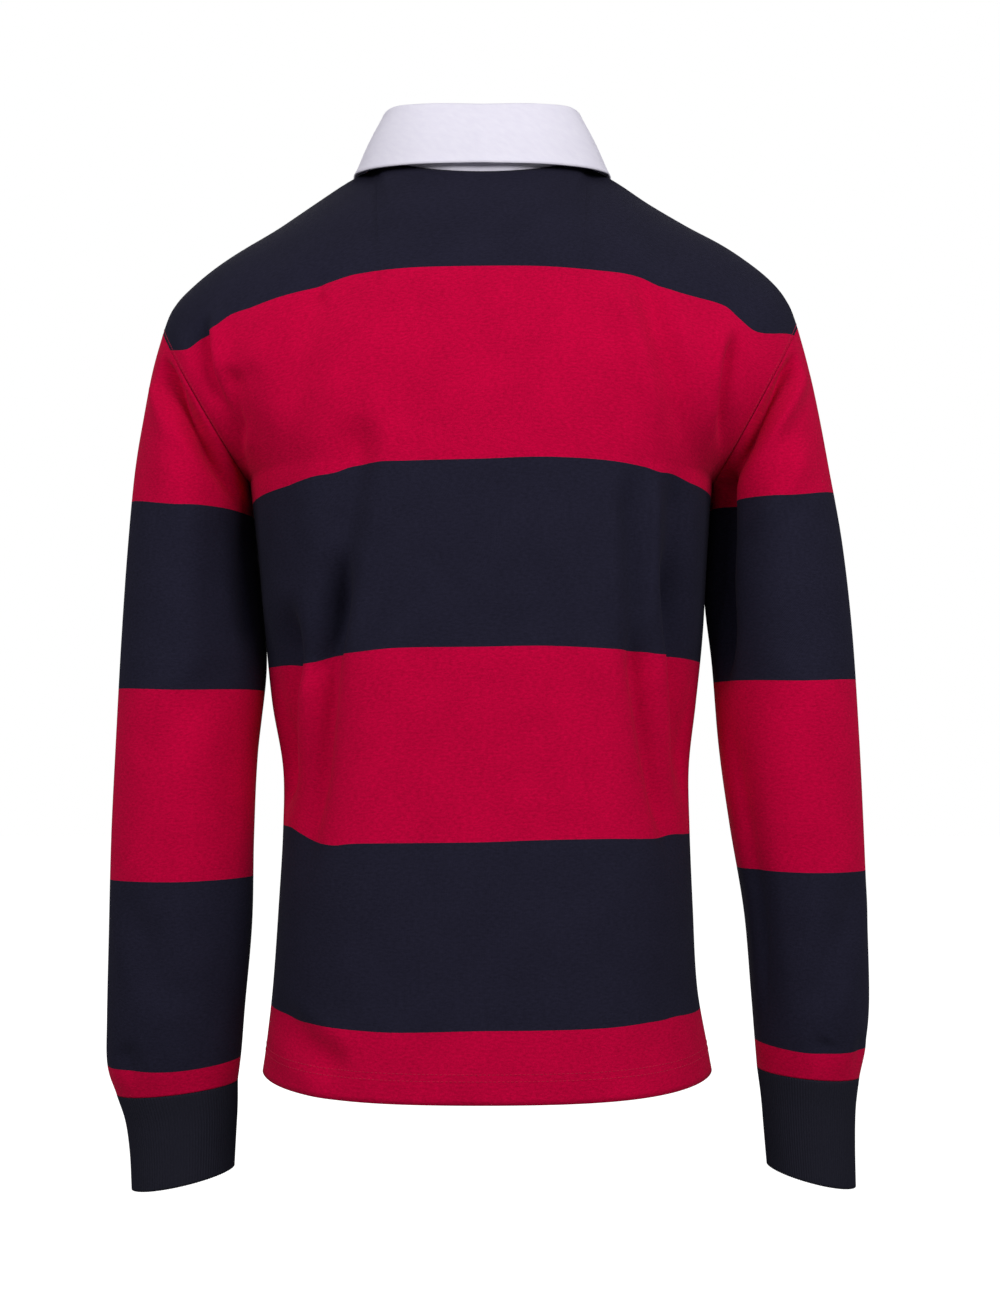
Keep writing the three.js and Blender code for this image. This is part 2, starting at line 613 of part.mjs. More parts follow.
// A round button with a rim, a dished middle and four holes, its axis along Z
function buttonGeometry() {
  const { radius, thick, edge, dish } = BUTTON;
  const rim = radius - BUTTON.rim;
  const profile = [
    [0, 0], [radius - edge, 0], [radius, dish], [radius, thick - dish],
    [radius - edge, thick], [rim, thick], [rim - edge, thick - dish], [0, thick - dish],
  ].map(([x, y]) => new THREE.Vector2(x, y));
  let solid = toSolid(new THREE.LatheGeometry(profile, BUTTON.sides).rotateX(Math.PI / 2));
  for (let index = 0; index < HOLE.count; index += 1) {
    const angle = 2 * Math.PI * (index + 0.5) / HOLE.count;
    const cutter = new THREE.CylinderGeometry(HOLE.radius, HOLE.radius, 4 * thick, HOLE.sides);
    cutter.rotateX(Math.PI / 2);
    cutter.translate(HOLE.out * Math.cos(angle), HOLE.out * Math.sin(angle), 0);
    solid = solid.subtract(toSolid(cutter));
  }
  return toGeometry(solid);
}

for (const part of ['back', 'front']) {
  const kept = part === 'back' ? () => true : slotCell;
  const flip = part === 'back' ? -1 : 1;
  const wall = clothWall(panels[part], panelNormals[part], JERSEY, false, flip, kept);
  addMesh(part + '_panel', wall, part === 'back' ? NAVY : RED, 0.9);
}
for (const part of ['left', 'right']) {
  const side = part === 'left' ? 1 : -1;
  const sleeve = clothWall(sleeves[part], sleeveNormals[part], JERSEY, true, side);
  addMesh('sleeve_' + part, sleeve, RED, 0.9);
  const cuff = tubeGrid(CUFF, side, CUFF_ROWS, []);
  for (const line of cuff) for (const point of line) point.z -= SEAM_GAP;
  const cuffWall = clothWall(cuff, gridNormals(cuff, true, side), RIB, true, side);
  addMesh('cuff_' + part, cuffWall, NAVY, 0.95);
}

const collar = collarGrid();
const collarWall = clothWall(collar, gridNormals(collar, false, 1), TWILL, false, 1);
addMesh('collar', collarWall, WHITE, 0.8);

const under = placketGrid(PLACKET_HALF - SEAM_GAP, UNDER_FROM_ROW, 0);
addMesh('placket_under', clothWall(under.grid, under.normals, TWILL, false, 1), WHITE, 0.8);
const tailRow = 1 - PLACKET_TAIL / (HEM_DROP - ARMPIT_DROP);
const over = placketGrid(PLACKET_HALF + PLACKET_LAP, tailRow, 2 * SEAM_GAP + TWILL);
addMesh('placket_over', clothWall(over.grid, over.normals, TWILL, false, 1), WHITE, 0.8);

// Each button stands on the upper strip, along the way that the strip faces there
['top', 'middle', 'low'].forEach((place, order) => {
  const row = 1 + (ARMPIT_DROP - BUTTON_DROPS[order]) / (ARMPIT_DROP - FRONT_NECK_DROP);
  const seat = panelPoint(1, -1, 0, row);
  const up = panelPoint(1, -1, 0, row + 0.01).sub(seat).setX(0).normalize();
  const out = new THREE.Vector3(0, -up.z, up.y).normalize();
  seat.addScaledVector(out, TWILL + 3 * SEAM_GAP);
  seat.y -= SEAM_GAP / 2;
  addMesh('button_' + place, buttonGeometry(), WHITE, 0.5);
  const button = group.children[group.children.length - 1];
  button.position.copy(seat);
  button.quaternion.setFromUnitVectors(new THREE.Vector3(0, 0, 1), out);
});

export default group;
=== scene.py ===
# %% [markdown]
# A rugby shirt, worn by nobody, seen from behind. It is knitted in wide hoops, with ribbed
# cuffs and a collar of white twill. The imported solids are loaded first, because every piece
# made here takes the place of one of them.

# %% The frame
import json
import math

import bpy
import numpy as np
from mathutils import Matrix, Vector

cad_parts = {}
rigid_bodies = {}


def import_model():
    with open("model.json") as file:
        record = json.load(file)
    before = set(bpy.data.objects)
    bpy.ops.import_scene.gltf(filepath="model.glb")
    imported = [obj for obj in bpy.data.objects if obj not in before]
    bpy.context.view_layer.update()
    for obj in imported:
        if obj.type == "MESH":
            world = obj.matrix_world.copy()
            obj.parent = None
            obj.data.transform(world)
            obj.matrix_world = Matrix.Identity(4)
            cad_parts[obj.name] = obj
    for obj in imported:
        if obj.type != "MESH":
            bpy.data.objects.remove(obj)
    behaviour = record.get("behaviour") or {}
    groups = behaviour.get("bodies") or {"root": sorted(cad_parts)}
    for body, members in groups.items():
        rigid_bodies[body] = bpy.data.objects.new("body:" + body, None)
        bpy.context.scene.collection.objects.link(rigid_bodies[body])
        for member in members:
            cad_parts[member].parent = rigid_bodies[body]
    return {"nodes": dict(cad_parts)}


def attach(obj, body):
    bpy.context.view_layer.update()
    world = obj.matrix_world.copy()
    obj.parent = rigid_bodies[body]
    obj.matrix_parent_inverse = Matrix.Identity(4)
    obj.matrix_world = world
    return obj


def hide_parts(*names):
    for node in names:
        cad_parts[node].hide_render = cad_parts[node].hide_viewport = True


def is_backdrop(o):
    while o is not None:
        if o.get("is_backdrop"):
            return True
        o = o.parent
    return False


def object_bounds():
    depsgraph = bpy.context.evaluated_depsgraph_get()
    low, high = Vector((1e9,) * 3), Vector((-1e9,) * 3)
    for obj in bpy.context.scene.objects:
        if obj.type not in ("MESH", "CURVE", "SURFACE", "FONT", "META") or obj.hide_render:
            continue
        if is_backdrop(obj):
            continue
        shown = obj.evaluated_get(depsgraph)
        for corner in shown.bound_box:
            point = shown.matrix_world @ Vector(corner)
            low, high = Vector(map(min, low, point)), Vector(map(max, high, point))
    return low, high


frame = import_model()
cad_box = [list(corner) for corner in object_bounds()]
print("nodes in the frame:", len(frame["nodes"]))

# %% [markdown]
# The camera stands behind the shirt, a little lower than its middle, and looks slightly up. A
# long lens from far away would flatten the curve of the hoops, so the distance comes from the
# picture. The focal length is given in image pixels and turned into Blender's millimetres.

# %% Camera
MM = 0.001
IMAGE_LONG_SIDE = 1299
FOCAL_PIXELS = 1646
CAMERA_PLACE = (-15, 1350, -515)
CAMERA_PITCH = 4.4985

camera = bpy.data.objects.new("camera", bpy.data.cameras.new("camera"))
camera.data.sensor_width = 36
camera.data.lens = camera.data.sensor_width * FOCAL_PIXELS / IMAGE_LONG_SIDE
camera.location = [MM * place for place in CAMERA_PLACE]
camera.rotation_euler = (math.radians(90 + CAMERA_PITCH), 0, math.radians(180))
bpy.context.collection.objects.link(camera)
bpy.context.scene.camera = camera
print("lens:", round(camera.data.lens, 2), "mm")

# %% [markdown]
# All the forms are worked out in millimetres, in tables of sections like the ones a pattern
# cutter keeps. A table could be read with straight lines between its rows, but cloth shows
# every corner, so a smooth curve runs through them.

# %% Tables and the curve through them
def columns(names, rows):
    """A table as a dict of arrays, one for each named column."""
    return dict(zip(names.split(), np.array(rows, float).T))


def along(table, key, at, column):
    """Cubic pieces through the rows, each row's slope being that of its two neighbours' line."""
    x, y = table[key], table[column]
    if x[-1] < x[0]:
        x, y = x[::-1], y[::-1]
    slope = np.empty_like(y)
    slope[1:-1] = (y[2:] - y[:-2]) / (x[2:] - x[:-2])
    slope[0] = (y[1] - y[0]) / (x[1] - x[0])
    slope[-1] = (y[-1] - y[-2]) / (x[-1] - x[-2])
    low = np.clip(np.searchsorted(x, at) - 1, 0, len(x) - 2)
    span = x[low + 1] - x[low]
    t = (at - x[low]) / span
    rise = 3 * t**2 - 2 * t**3
    return (
        y[low] + (y[low + 1] - y[low]) * rise
        + (t**3 - 2 * t**2 + t) * slope[low] * span
        + (t**3 - t**2) * slope[low + 1] * span
    )


def ease(value):
    """A smooth step: 0 below 0, 1 above 1, and level at both."""
    value = np.clip(value, 0, 1)
    return value**2 * (3 - 2 * value)


BODY = columns("drop left right back front full", [
    (757, 177, 187, 131, 130, 0.09),
    (729, 173, 182, 130, 130, 0.09),
    (681, 168, 174, 128, 129, 0.10),
    (617, 164, 171, 126, 128, 0.11),
    (552, 161, 169, 124, 127, 0.11),
    (505, 162, 169, 124, 128, 0.11),
    (454, 171, 175, 126, 131, 0.11),
    (400, 177, 181, 128, 134, 0.11),
    (340, 183, 185, 130, 136, 0.11),
    (272, 191, 190, 130, 135, 0.12),
])
BACK_LINE = columns("drop depth", [(272, 130), (215, 128), (165, 121), (120, 108), (75, 86), (26, 56)])
FRONT_LINE = columns("drop depth", [(272, 135), (230, 132), (190, 126), (150, 115), (120, 101), (92, 86)])
SHOULDER = columns("out left right", [
    (86, 0, 0),
    (112, 14, 14),
    (140, 33, 33),
    (170, 54, 51),
    (200, 74, 68),
    (222, 91, 84),
    (241, 109, 101),
    (254, 125, 119),
    (262, 148, 143),
])
HEM_DROP = 752
HEM_DIP = -6
ARMPIT_DROP = 272
NECK_HALF = 86
NECK_DEPTH = {1: 56, -1: 86}
NECK_DROP = {1: 26, -1: 92}
NECK_POWER = 1.5
TIP_OUT = {1: 262, -1: 260}
TIP_DROP = {1: 148, -1: 143}
NECK_SPREAD = 60
LIFT_REACH = 1.25
LIFT_SAMPLES = 15
SHOULDER_ROUND = 10
SEAM_GAP = 0.36
print("sections of the body:", len(BODY["drop"]))

# %% [markdown]
# A simulation would put the folds somewhere, but not where this shirt has them, so each is laid
# one by one: a trough along a bent line through three places, with a low lip on both sides,
# steeper on one side than on the other, and crisp where two flat faces of cloth meet.

# %% Folds
FOLD_NAMES = "x1 drop1 x2 drop2 x3 drop3 wide deep soft lip lean"
BACK_FOLDS = columns(FOLD_NAMES, [
    (120, 138, 134, 162, 150, 275, 20, 6, 0.7, 0.3, 0),
    (173, 200, 180, 225, 172, 262, 13, 5, 0.6, 0.2, 0.2),
    (194, 200, 195, 222, 188, 250, 9, 15, 0.5, 0.1, -0.5),
    (218, 160, 210, 207, 190, 262, 10, 16, 0.4, 0.2, 0.5),
    (205, 150, 204, 185, 199, 220, 9, -5, 0.4, 0.2, 0),
    (93, 140, 84, 200, 70, 275, 14, -2.6, 0.8, 0.3, 0),
    (91, 247, 97, 290, 103, 338, 18, 8, 0.7, 0.3, 0.3),
    (103, 325, 114, 393, 140, 438, 14, 12, 0.6, 0.1, 0.3),
    (109, 350, 117, 440, 133, 572, 16, 23, 0.5, 0, 0.5),
    (138, 428, 144, 470, 152, 515, 10, -5, 0.6, 0, -0.3),
    (150, 385, 154, 455, 157, 530, 14, 34, 0.6, 0, 0.7),
    (-125, 128, -141, 190, -162, 268, 13, 8, 0.6, 0.3, 0.2),
    (-108, 126, -123, 190, -135, 250, 13, -3, 0.5, 0.2, 0),
    (-190, 165, -181, 205, -181, 250, 9, -7, 0.4, 0, -0.5),
    (-198, 175, -191, 210, -190, 250, 8, 14, 0.4, 0, 0),
    (-114, 288, -118, 345, -120, 405, 11, 10, 0.6, 0.2, 0),
    (-136, 290, -133, 335, -133, 375, 8, -4, 0.5, 0, 0),
    (-152, 281, -150, 340, -148, 410, 12, 12, 0.6, 0.2, 0),
    (-118, 400, -128, 475, -149, 572, 15, 21, 0.5, 0, -0.5),
    (-138, 365, -144, 430, -156, 515, 9, -5, 0.6, 0, 0.3),
    (-149, 345, -156, 430, -163, 525, 13, 26, 0.6, 0, -0.5),
    (158, 690, 130, 712, 100, 728, 14, 8, 0.6, 0.3, 0.2),
    (-150, 640, -142, 690, -120, 726, 16, 2.5, 0.7, 0.2, 0),
])
FRONT_FOLDS = columns(FOLD_NAMES, [
    (160, 205, 135, 350, 105, 520, 20, 12, 0.5, 0.3, 0.3),
    (-166, 215, -145, 330, -116, 480, 18, 12, 0.5, 0.3, -0.2),
    (60, 420, 72, 560, 88, 690, 22, 9, 0.6, 0.3, 0.2),
    (-52, 500, -64, 610, -66, 705, 22, 8, 0.6, 0.3, -0.2),
    (112, 130, 138, 180, 172, 252, 15, 5.5, 0.5, 0.4, 0.2),
    (-104, 132, -132, 190, -165, 256, 14, 5.5, 0.5, 0.4, 0.2),
    (30, 262, 52, 330, 66, 400, 16, 3.5, 0.6, 0.3, 0),
    (-28, 268, -58, 350, -78, 430, 16, 4, 0.5, 0.3, 0),
    (118, 400, 128, 470, 140, 548, 14, 7, 0.4, 0.1, 0.3),
    (-116, 390, -130, 470, -146, 555, 14, 7, 0.4, 0.1, -0.3),
    (-96, 560, -110, 640, -112, 715, 18, 3.5, 0.7, 0.2, 0),
])
BEND_STEPS = 24
LEAN_SHARE = 0.5
LEAN_TURN = 3
TROUGH_FALL = 2.4
LIP_AT = 1.5
LIP_FALL = 3
FADE_BEYOND = 0.12
FADE_OVER = 0.35


def fold_depth(folds, across, drop):
    """Sum over the folds: depth times e to the minus distance from the bent line, rounded off
    near the line by its softness, less two lips, times a fade at the line's two ends."""
    depth = np.zeros(np.shape(across))
    t = np.linspace(0, 1, BEND_STEPS)[:, None]
    for index in range(len(folds["wide"])):
        fold = {name: values[index] for name, values in folds.items()}
        start, middle, end = (np.array([fold[f"x{k}"], fold[f"drop{k}"]]) for k in (1, 2, 3))
        pull = 2 * middle - (start + end) / 2
        line = (1 - t) ** 2 * start + 2 * t * (1 - t) * pull + t**2 * end
        step = np.gradient(line, axis=0)
        length = np.linalg.norm(step, axis=1)
        away = np.stack([across, drop], -1)[..., None, :] - line
        near = np.argmin((away**2).sum(-1), axis=-1)
        away = np.take_along_axis(away, near[..., None, None], axis=-2)[..., 0, :]
        tangent = (step / length[:, None])[near]
        ahead = (away * tangent).sum(-1) / (length[near] * (BEND_STEPS - 1))
        share = t[near, 0] + ahead
        aside = (away[..., 0] * tangent[..., 1] - away[..., 1] * tangent[..., 0]) / fold["wide"]
        aside = aside / (1 + LEAN_SHARE * fold["lean"] * np.tanh(LEAN_TURN * aside))
        bell = np.exp(-TROUGH_FALL * (np.hypot(aside, fold["soft"]) - fold["soft"]))
        bell = bell - fold["lip"] * np.exp(-LIP_FALL * (np.abs(aside) - LIP_AT) ** 2)
        fade = ease((share + FADE_BEYOND) / FADE_OVER) * ease((1 + FADE_BEYOND - share) / FADE_OVER)
        depth += fold["deep"] * fade * bell
    return depth


print("folds on the back and the front:", len(BACK_FOLDS["deep"]), len(FRONT_FOLDS["deep"]))

# %% [markdown]
# The body is two panels, back and front, sewn at the sides and along the shoulders. A panel is
# one surface with two parameters: the turn from its middle to its side edge, and the row from
# the hem (0) past the armpits (1) to the neck and shoulder seams (2). Its side edge and its
# top edge are curves of their own, so two panels that share a seam share its curve.

# %% Panel surface
ARMHOLE = {"out": TIP_OUT, "in": {1: 191.6, -1: 190.6}, "in_drop": 271.6, "depth": 84}
CALM_AT_SIDE = 0.03
CALM_AT_TOP = 0.12
PUSH_INWARD = 0.5
LEAST_PUSH = 0.3


def top_edge(side, face, x):
    """Half an ellipse along the neck, then the shoulder line, as (y, z) at a distance x out."""
    level = np.sqrt(np.clip(1 - (x / NECK_HALF) ** 2, 0, 1))
    tip = SHOULDER["out"][-1]
    out = NECK_HALF + (x - NECK_HALF) * (tip - NECK_HALF) / (TIP_OUT[side] - NECK_HALF)
    shoulder = -along(SHOULDER, "out", np.maximum(out, NECK_HALF), "left" if side > 0 else "right")
    neck = x <= NECK_HALF
    y = np.where(neck, face * NECK_DEPTH[face] * level, 0)
    return y, np.where(neck, -NECK_DROP[face] * level**NECK_POWER, shoulder)


def top_lift(side, face, x, spread):
    """Distance from a plain curve to the top edge, averaged over a spread to soften its corner."""
    lift_y = lift_z = 0
    shares = np.linspace(-1, 1, LIFT_SAMPLES + 2)[1:-1]
    weights = 1 - shares**2
    for shift, weight in zip(shares, weights / weights.sum()):
        at = np.minimum(np.abs(x + LIFT_REACH * spread * shift), TIP_OUT[side])
        cosine = np.sqrt(1 - (at / TIP_OUT[side]) ** 2)
        y, z = top_edge(side, face, at)
        lift_y = lift_y + weight * (y - face * NECK_DEPTH[face] * cosine)
        lift_z = lift_z + weight * (z + TIP_DROP[side] - (TIP_DROP[side] - NECK_DROP[face]) * cosine)
    return lift_y, lift_z


def side_edge(side, face, row):
    """The side seam up to the armpit, then half of the armhole's tilted ellipse."""
    turn = np.pi * np.clip(row - 1, 0, 1)
    out, inner = ARMHOLE["out"][side], ARMHOLE["in"][side]
    ring_x = (out + inner) / 2 - (out - inner) / 2 * np.cos(turn)
    ring_y = face * ARMHOLE["depth"] * np.sin(turn)
    tip_drop, in_drop = TIP_DROP[side], ARMHOLE["in_drop"]
    ring_drop = (tip_drop + in_drop) / 2 + (in_drop - tip_drop) / 2 * np.cos(turn)
    drop = HEM_DROP + HEM_DIP + (ARMPIT_DROP - HEM_DROP - HEM_DIP) * np.minimum(row, 1)
    seam_x = along(BODY, "drop", drop, "left" if side > 0 else "right")
    high = row > 1
    return np.where(high, ring_x, seam_x), np.where(high, ring_y, 0), -np.where(high, ring_drop, drop)


def half_panel(side, face, turn, row):
    """Between the middle line and the side edge, weighted by the cosine and sine of the turn,
    with the top edge's own shape coming in above the armpits."""
    edge_x, edge_y, edge_z = side_edge(side, face, row)
    line = BACK_LINE if face > 0 else FRONT_LINE
    high = np.maximum(row - 1, 0)
    low_drop = HEM_DROP + (ARMPIT_DROP - HEM_DROP) * np.minimum(row, 1)
    drop = np.where(row > 1, ARMPIT_DROP + (line["drop"][-1] - ARMPIT_DROP) * high, low_drop)
    depth = np.where(
        row > 1,
        along(line, "drop", drop, "depth"),
        along(BODY, "drop", low_drop, "back" if face > 0 else "front"),
    )
    full = np.where(row > 1, BODY["full"][-1] * (2 - row), along(BODY, "drop", low_drop, "full"))
    sine, cosine = np.sin(turn), np.cos(turn)
    x = edge_x * sine
    y = face * edge_y + (depth - face * edge_y) * cosine + depth * full * np.sin(2 * turn) ** 2
    z = edge_z + (-drop - edge_z) * cosine
    at = TIP_OUT[side] * sine
    lift_y, lift_z = top_lift(side, face, at, np.minimum(NECK_SPREAD * (1 - high), TIP_OUT[side] - at))
    y = face * y + lift_y * high**3
    z = z + lift_z * high**2 + SHOULDER_ROUND * np.sin(np.pi * high**2) * np.sin(2 * turn) ** 2
    folds = BACK_FOLDS if face > 0 else FRONT_FOLDS
    calm = ease((1 - sine) / CALM_AT_SIDE) * ease((2 - row) / CALM_AT_TOP)
    push = calm * fold_depth(folds, side * x, -z)
    x = side * (x - PUSH_INWARD * push * sine)
    return np.stack([x, y - face * push * np.maximum(cosine, LEAST_PUSH), z], -1)


def panel(face, turn, row):
    """The two halves of a panel, the wearer's left where the turn is positive."""
    left = half_panel(1, face, np.abs(turn), row)
    right = half_panel(-1, face, np.abs(turn), row)
    points = np.where(turn[..., None] >= 0, left, right)
    points[..., 1] += face * SEAM_GAP / 2
    return points


# %% [markdown]
# Cloth has two sides and an edge, and a camera that looks into a sleeve sees the inside. The
# Solidify modifier could give the thickness, but it doesn't know where the seams are, so the
# inner points are worked out here and the edge is closed all round.

# %% Grids to meshes
JERSEY = 1.6
RIB = 2.2
TWILL = 1.6


def grid_normals(points, tube):
    """Cross product of the differences across and up the grid, which point out of the shirt."""
    if tube:
        across = np.roll(points, -1, axis=1) - np.roll(points, 1, axis=1)
    else:
        across = np.gradient(points, axis=1)
    normals = np.cross(across, np.gradient(points, axis=0))
    return normals / np.maximum(np.linalg.norm(normals, axis=-1, keepdims=True), 1e-9)


def wall_faces(rows, cols, tube, kept):
    """Quads of the outer and inner layers, and of the edge wherever a cell has no neighbour."""
    cells = cols if tube else cols - 1
    i, j = np.meshgrid(np.arange(rows - 1), np.arange(cells), indexing="ij")
    corner = lambda a, b: (i + a) * cols + (j + b) % cols
    size = rows * cols
    a, b, c, d = corner(0, 0), corner(0, 1), corner(1, 1), corner(1, 0)
    quads = [np.stack([a, b, c, d], -1)[kept], np.stack([a, d, c, b], -1)[kept] + size]
    room = np.pad(kept, 1)
    if tube:
        room[1:-1, 0], room[1:-1, -1] = kept[:, -1], kept[:, 0]
    sides = (
        (room[:-2, 1:-1], a, b), (room[1:-1, 2:], b, c), (room[2:, 1:-1], c, d), (room[1:-1, :-2], d, a),
    )
    for open_to, p, q in sides:
        bare = kept & ~open_to
        p, q = p[bare], q[bare]
        quads.append(np.stack([p, p + size, q + size, q], -1))
    return np.concatenate(quads)


def placed(name, mesh):
    """A smooth object with this mesh, riding on the only body."""
    mesh.polygons.foreach_set("use_smooth", np.ones(len(mesh.polygons), bool))
    mesh.update()
    piece = bpy.data.objects.new(name, mesh)
    bpy.context.collection.objects.link(piece)
    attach(piece, "root")
    return piece


def cloth(name, points, thick, uv, tube=False, out=1, kept=None, normals=None):
    """A closed wall of cloth on a grid of outer points, with its flat coordinates as a UV map."""
    rows, cols = points.shape[:2]
    if normals is None:
        normals = grid_normals(points, tube) * out
    if kept is None:
        kept = np.ones((rows - 1, cols if tube else cols - 1), bool)
    quads = wall_faces(rows, cols, tube, kept)
    if out < 0:
        quads = quads[:, ::-1]
    both = np.concatenate([points.reshape(-1, 3), (points - thick * normals).reshape(-1, 3)])
    used, quads = np.unique(quads, return_inverse=True)
    quads = quads.reshape(-1, 4)
    mesh = bpy.data.meshes.new(name)
    mesh.from_pydata((both[used] * MM).tolist(), [], quads.tolist())
    flat = np.concatenate([uv.reshape(-1, 2)] * 2)[used] * MM
    mesh.uv_layers.new(name="cloth").data.foreach_set("uv", flat[quads.ravel()].ravel())
    return placed(name, mesh)


def flat_lengths(points):
    """Distance run along each row of the grid from its first column."""
    steps = np.linalg.norm(np.diff(points, axis=1), axis=-1)
    return np.pad(np.cumsum(steps, axis=1), ((0, 0), (1, 0)))


# %% [markdown]
# The hoops are knitted in, so their edges follow the courses of the knit. They run level round
# the shirt, but the cloth of the yoke drops towards the shoulders and carries them down with
# it. So each panel gets a second coordinate that says how far down the cloth a point lies.

# %% Back and front panels
NECK_CELLS = 40
SHOULDER_CELLS = 54
LOW_CELLS = 110
HIGH_CELLS = 84
PLACKET_HALF = 15
SLOT_CELLS = 4
BODY_HOOPS = (122, 276, 417, 560, 698)
HOOP_NAMES = ("yoke", "chest", "waist", "belly", "low")
SAG = columns("x yoke chest waist belly low", [
    (-262, 40, 8, 3, -4, -2),
    (-248, 43, 8, 3, -4, -2),
    (-224, 50, 8, 3, -4, -2),
    (-212, 49, 8, 3, -4, -2),
    (-200, 38, 8, 3, -4, -2),
    (-190, 28, 7, 3, -4, -2),
    (-165, 21, 6, 2, -4, -3),
    (-149, 17, 2, 1, -4.5, -4),
    (-137, 12, 3, 1.4, -2.4, -3),
    (-125, 5, 0.6, 0, -2.4, -3),
    (-94, 0, -2.5, -1, -3, -1.6),
    (-47, -2.4, -4, -2.4, -2.4, -1),
    (0, -2.4, -2.4, -1.6, -0.8, -0.8),
    (64, -0.8, -0.8, -0.8, 0, 0.8),
    (96, 3, 1, 2, 0.8, 0),
    (111, 7.5, 6, 2.5, 2.4, -0.8),
    (127, 12.5, 8, 7, 0, -1.6),
    (139, 16, 10, 8.5, -5.5, -1.6),
    (151, 20, 12, 8, -11, -4),
    (178, 30, 13, 8, -11, -6),
    (194, 35, 13, 8, -11, -6),
    (206, 46, 13, 8, -11, -6),
    (218, 54, 13, 8, -11, -6),
    (230, 64, 13, 8, -11, -6),
    (246, 60, 13, 8, -11, -6),
    (262, 54, 13, 8, -11, -6),
])


def cloth_drop(points):
    """How far down the cloth a point lies: its drop less the sag of the courses there, which is
    taken between the two hoop edges above and below."""
    out, drop = points[..., 0], -points[..., 2]
    sags = [along(SAG, "x", out, name) for name in HOOP_NAMES]
    sag = sags[0]
    for index in range(len(BODY_HOOPS) - 1):
        high, low = BODY_HOOPS[index:index + 2]
        middle = (sags[index] + sags[index + 1]) / 2
        sag = sag + (sags[index + 1] - sags[index]) * np.clip((drop - middle - high) / (low - high), 0, 1)
    return drop - sag


def panel_turns(side, slot):
    """Turns of the columns outside the slot: they share the neck out at the top edge, then the
    shoulder, and lower down they start from the slot's own turn there."""
    slot_top = np.arcsin(PLACKET_HALF / NECK_HALF)
    neck = slot_top + (np.pi / 2 - slot_top) * np.arange(NECK_CELLS + 1) / NECK_CELLS
    neck = np.arcsin(NECK_HALF * np.sin(neck) / TIP_OUT[side])
    part = (neck[1:] - neck[0]) / (neck[-1] - neck[0])
    neck = slot[:, None] + (neck[-1] - slot[:, None]) * part
    step = np.arange(1, SHOULDER_CELLS + 1) / SHOULDER_CELLS
    return np.concatenate([neck, neck[:, -1:] + (np.pi / 2 - neck[:, -1:]) * step], axis=1)


def panel_grid(face):
    """Turn and row of every point: the slot's columns keep one width all the way down."""
    low = np.linspace(0, 1, LOW_CELLS + 1)
    rows = np.concatenate([low, 1 + np.arange(1, HIGH_CELLS + 1) / HIGH_CELLS])
    halves = {}
    for side in (1, -1):
        slot = np.arcsin(PLACKET_HALF / side_edge(side, face, rows)[0])
        inside = slot[:, None] * np.arange(SLOT_CELLS + 1) / SLOT_CELLS
        halves[side] = np.concatenate([inside, panel_turns(side, slot)], axis=1)
    turn = np.concatenate([-halves[-1][:, ::-1], halves[1][:, 1:]], axis=1)
    return turn, np.broadcast_to(rows[:, None], turn.shape)


def panel_piece(name, face):
    """One panel as a wall of jersey, the front one with its slot left open."""
    turn, row = panel_grid(face)
    points = panel(face, turn, row)
    uv = np.stack([flat_lengths(points), cloth_drop(points)], -1)
    kept = np.ones((row.shape[0] - 1, row.shape[1] - 1), bool)
    if face < 0:
        middle = row.shape[1] // 2
        kept[LOW_CELLS:, middle - SLOT_CELLS:middle + SLOT_CELLS] = False
    normals = grid_normals(points, False) * -face
    return cloth(name, points, JERSEY, uv, out=-face, kept=kept, normals=normals), points


back, back_points = panel_piece("back", 1)
front, front_points = panel_piece("front", -1)
print("faces of the back:", len(back.data.polygons), "front:", len(front.data.polygons))

# %% [markdown]
# A sleeve is a tube of rings, from the tilted armhole down to the cuff seam. It hangs beside
# the body, so its folds are long slants down from the armhole, and softer ones at the elbow.

# %% Sleeve surface
RING_NAMES = "out_left out_right out_drop in_left in_right in_drop depth middle tuck"
SLEEVE = columns(RING_NAMES, [
    (262, 260, 148, 191.6, 190.6, 271.6, 84, 0, 0),
    (270, 269, 180, 190.8, 190.4, 282, 80, 4, 8),
    (276, 276, 218, 188.9, 189.2, 299, 75, 9, 14),
    (282, 283, 265, 185.7, 187.3, 326, 69, 15, 20),
    (286, 292, 328, 181.3, 184.6, 368, 63, 21, 25),
    (289, 298, 402, 176.6, 189, 424, 59, 26, 22),
    (292, 302, 487, 181.5, 192.5, 495, 56, 27, 12),
    (295, 305, 560, 183, 200, 560, 54, 24, 4),
    (297, 308, 635, 184, 211, 630, 52, 18, 0),
    (299, 310, 705, 190, 217, 697, 50, 11, 0),
    (299, 307, 742, 193, 220, 733, 47, 7, 0),
    (292, 303, 766, 196, 222, 756, 42, 4, 0),
])
CUFF = columns(RING_NAMES, [
    (292, 303, 766, 196, 222, 756, 42, 4, 0),
    (285, 300, 787, 196, 225, 777, 38, 3, 0),
    (281, 299, 812, 197, 227, 801, 37, 3, 0),
    (279, 299, 840, 198, 229, 824, 38, 3, 0),
])
RIGHT_SLEEVE_RISE = 14
OUTER_RISE = {"from": 150, "over": 600}
INNER_RISE = {"from": 300, "over": 200, "share": 0.72}
CUFF_CATCH_UP = 0.28
CALM_ROWS = 1.5
CALM_SHARE_ABOVE = 0.4
for rings in (SLEEVE, CUFF):
    rings["order"] = np.arange(len(rings["depth"]), dtype=float)

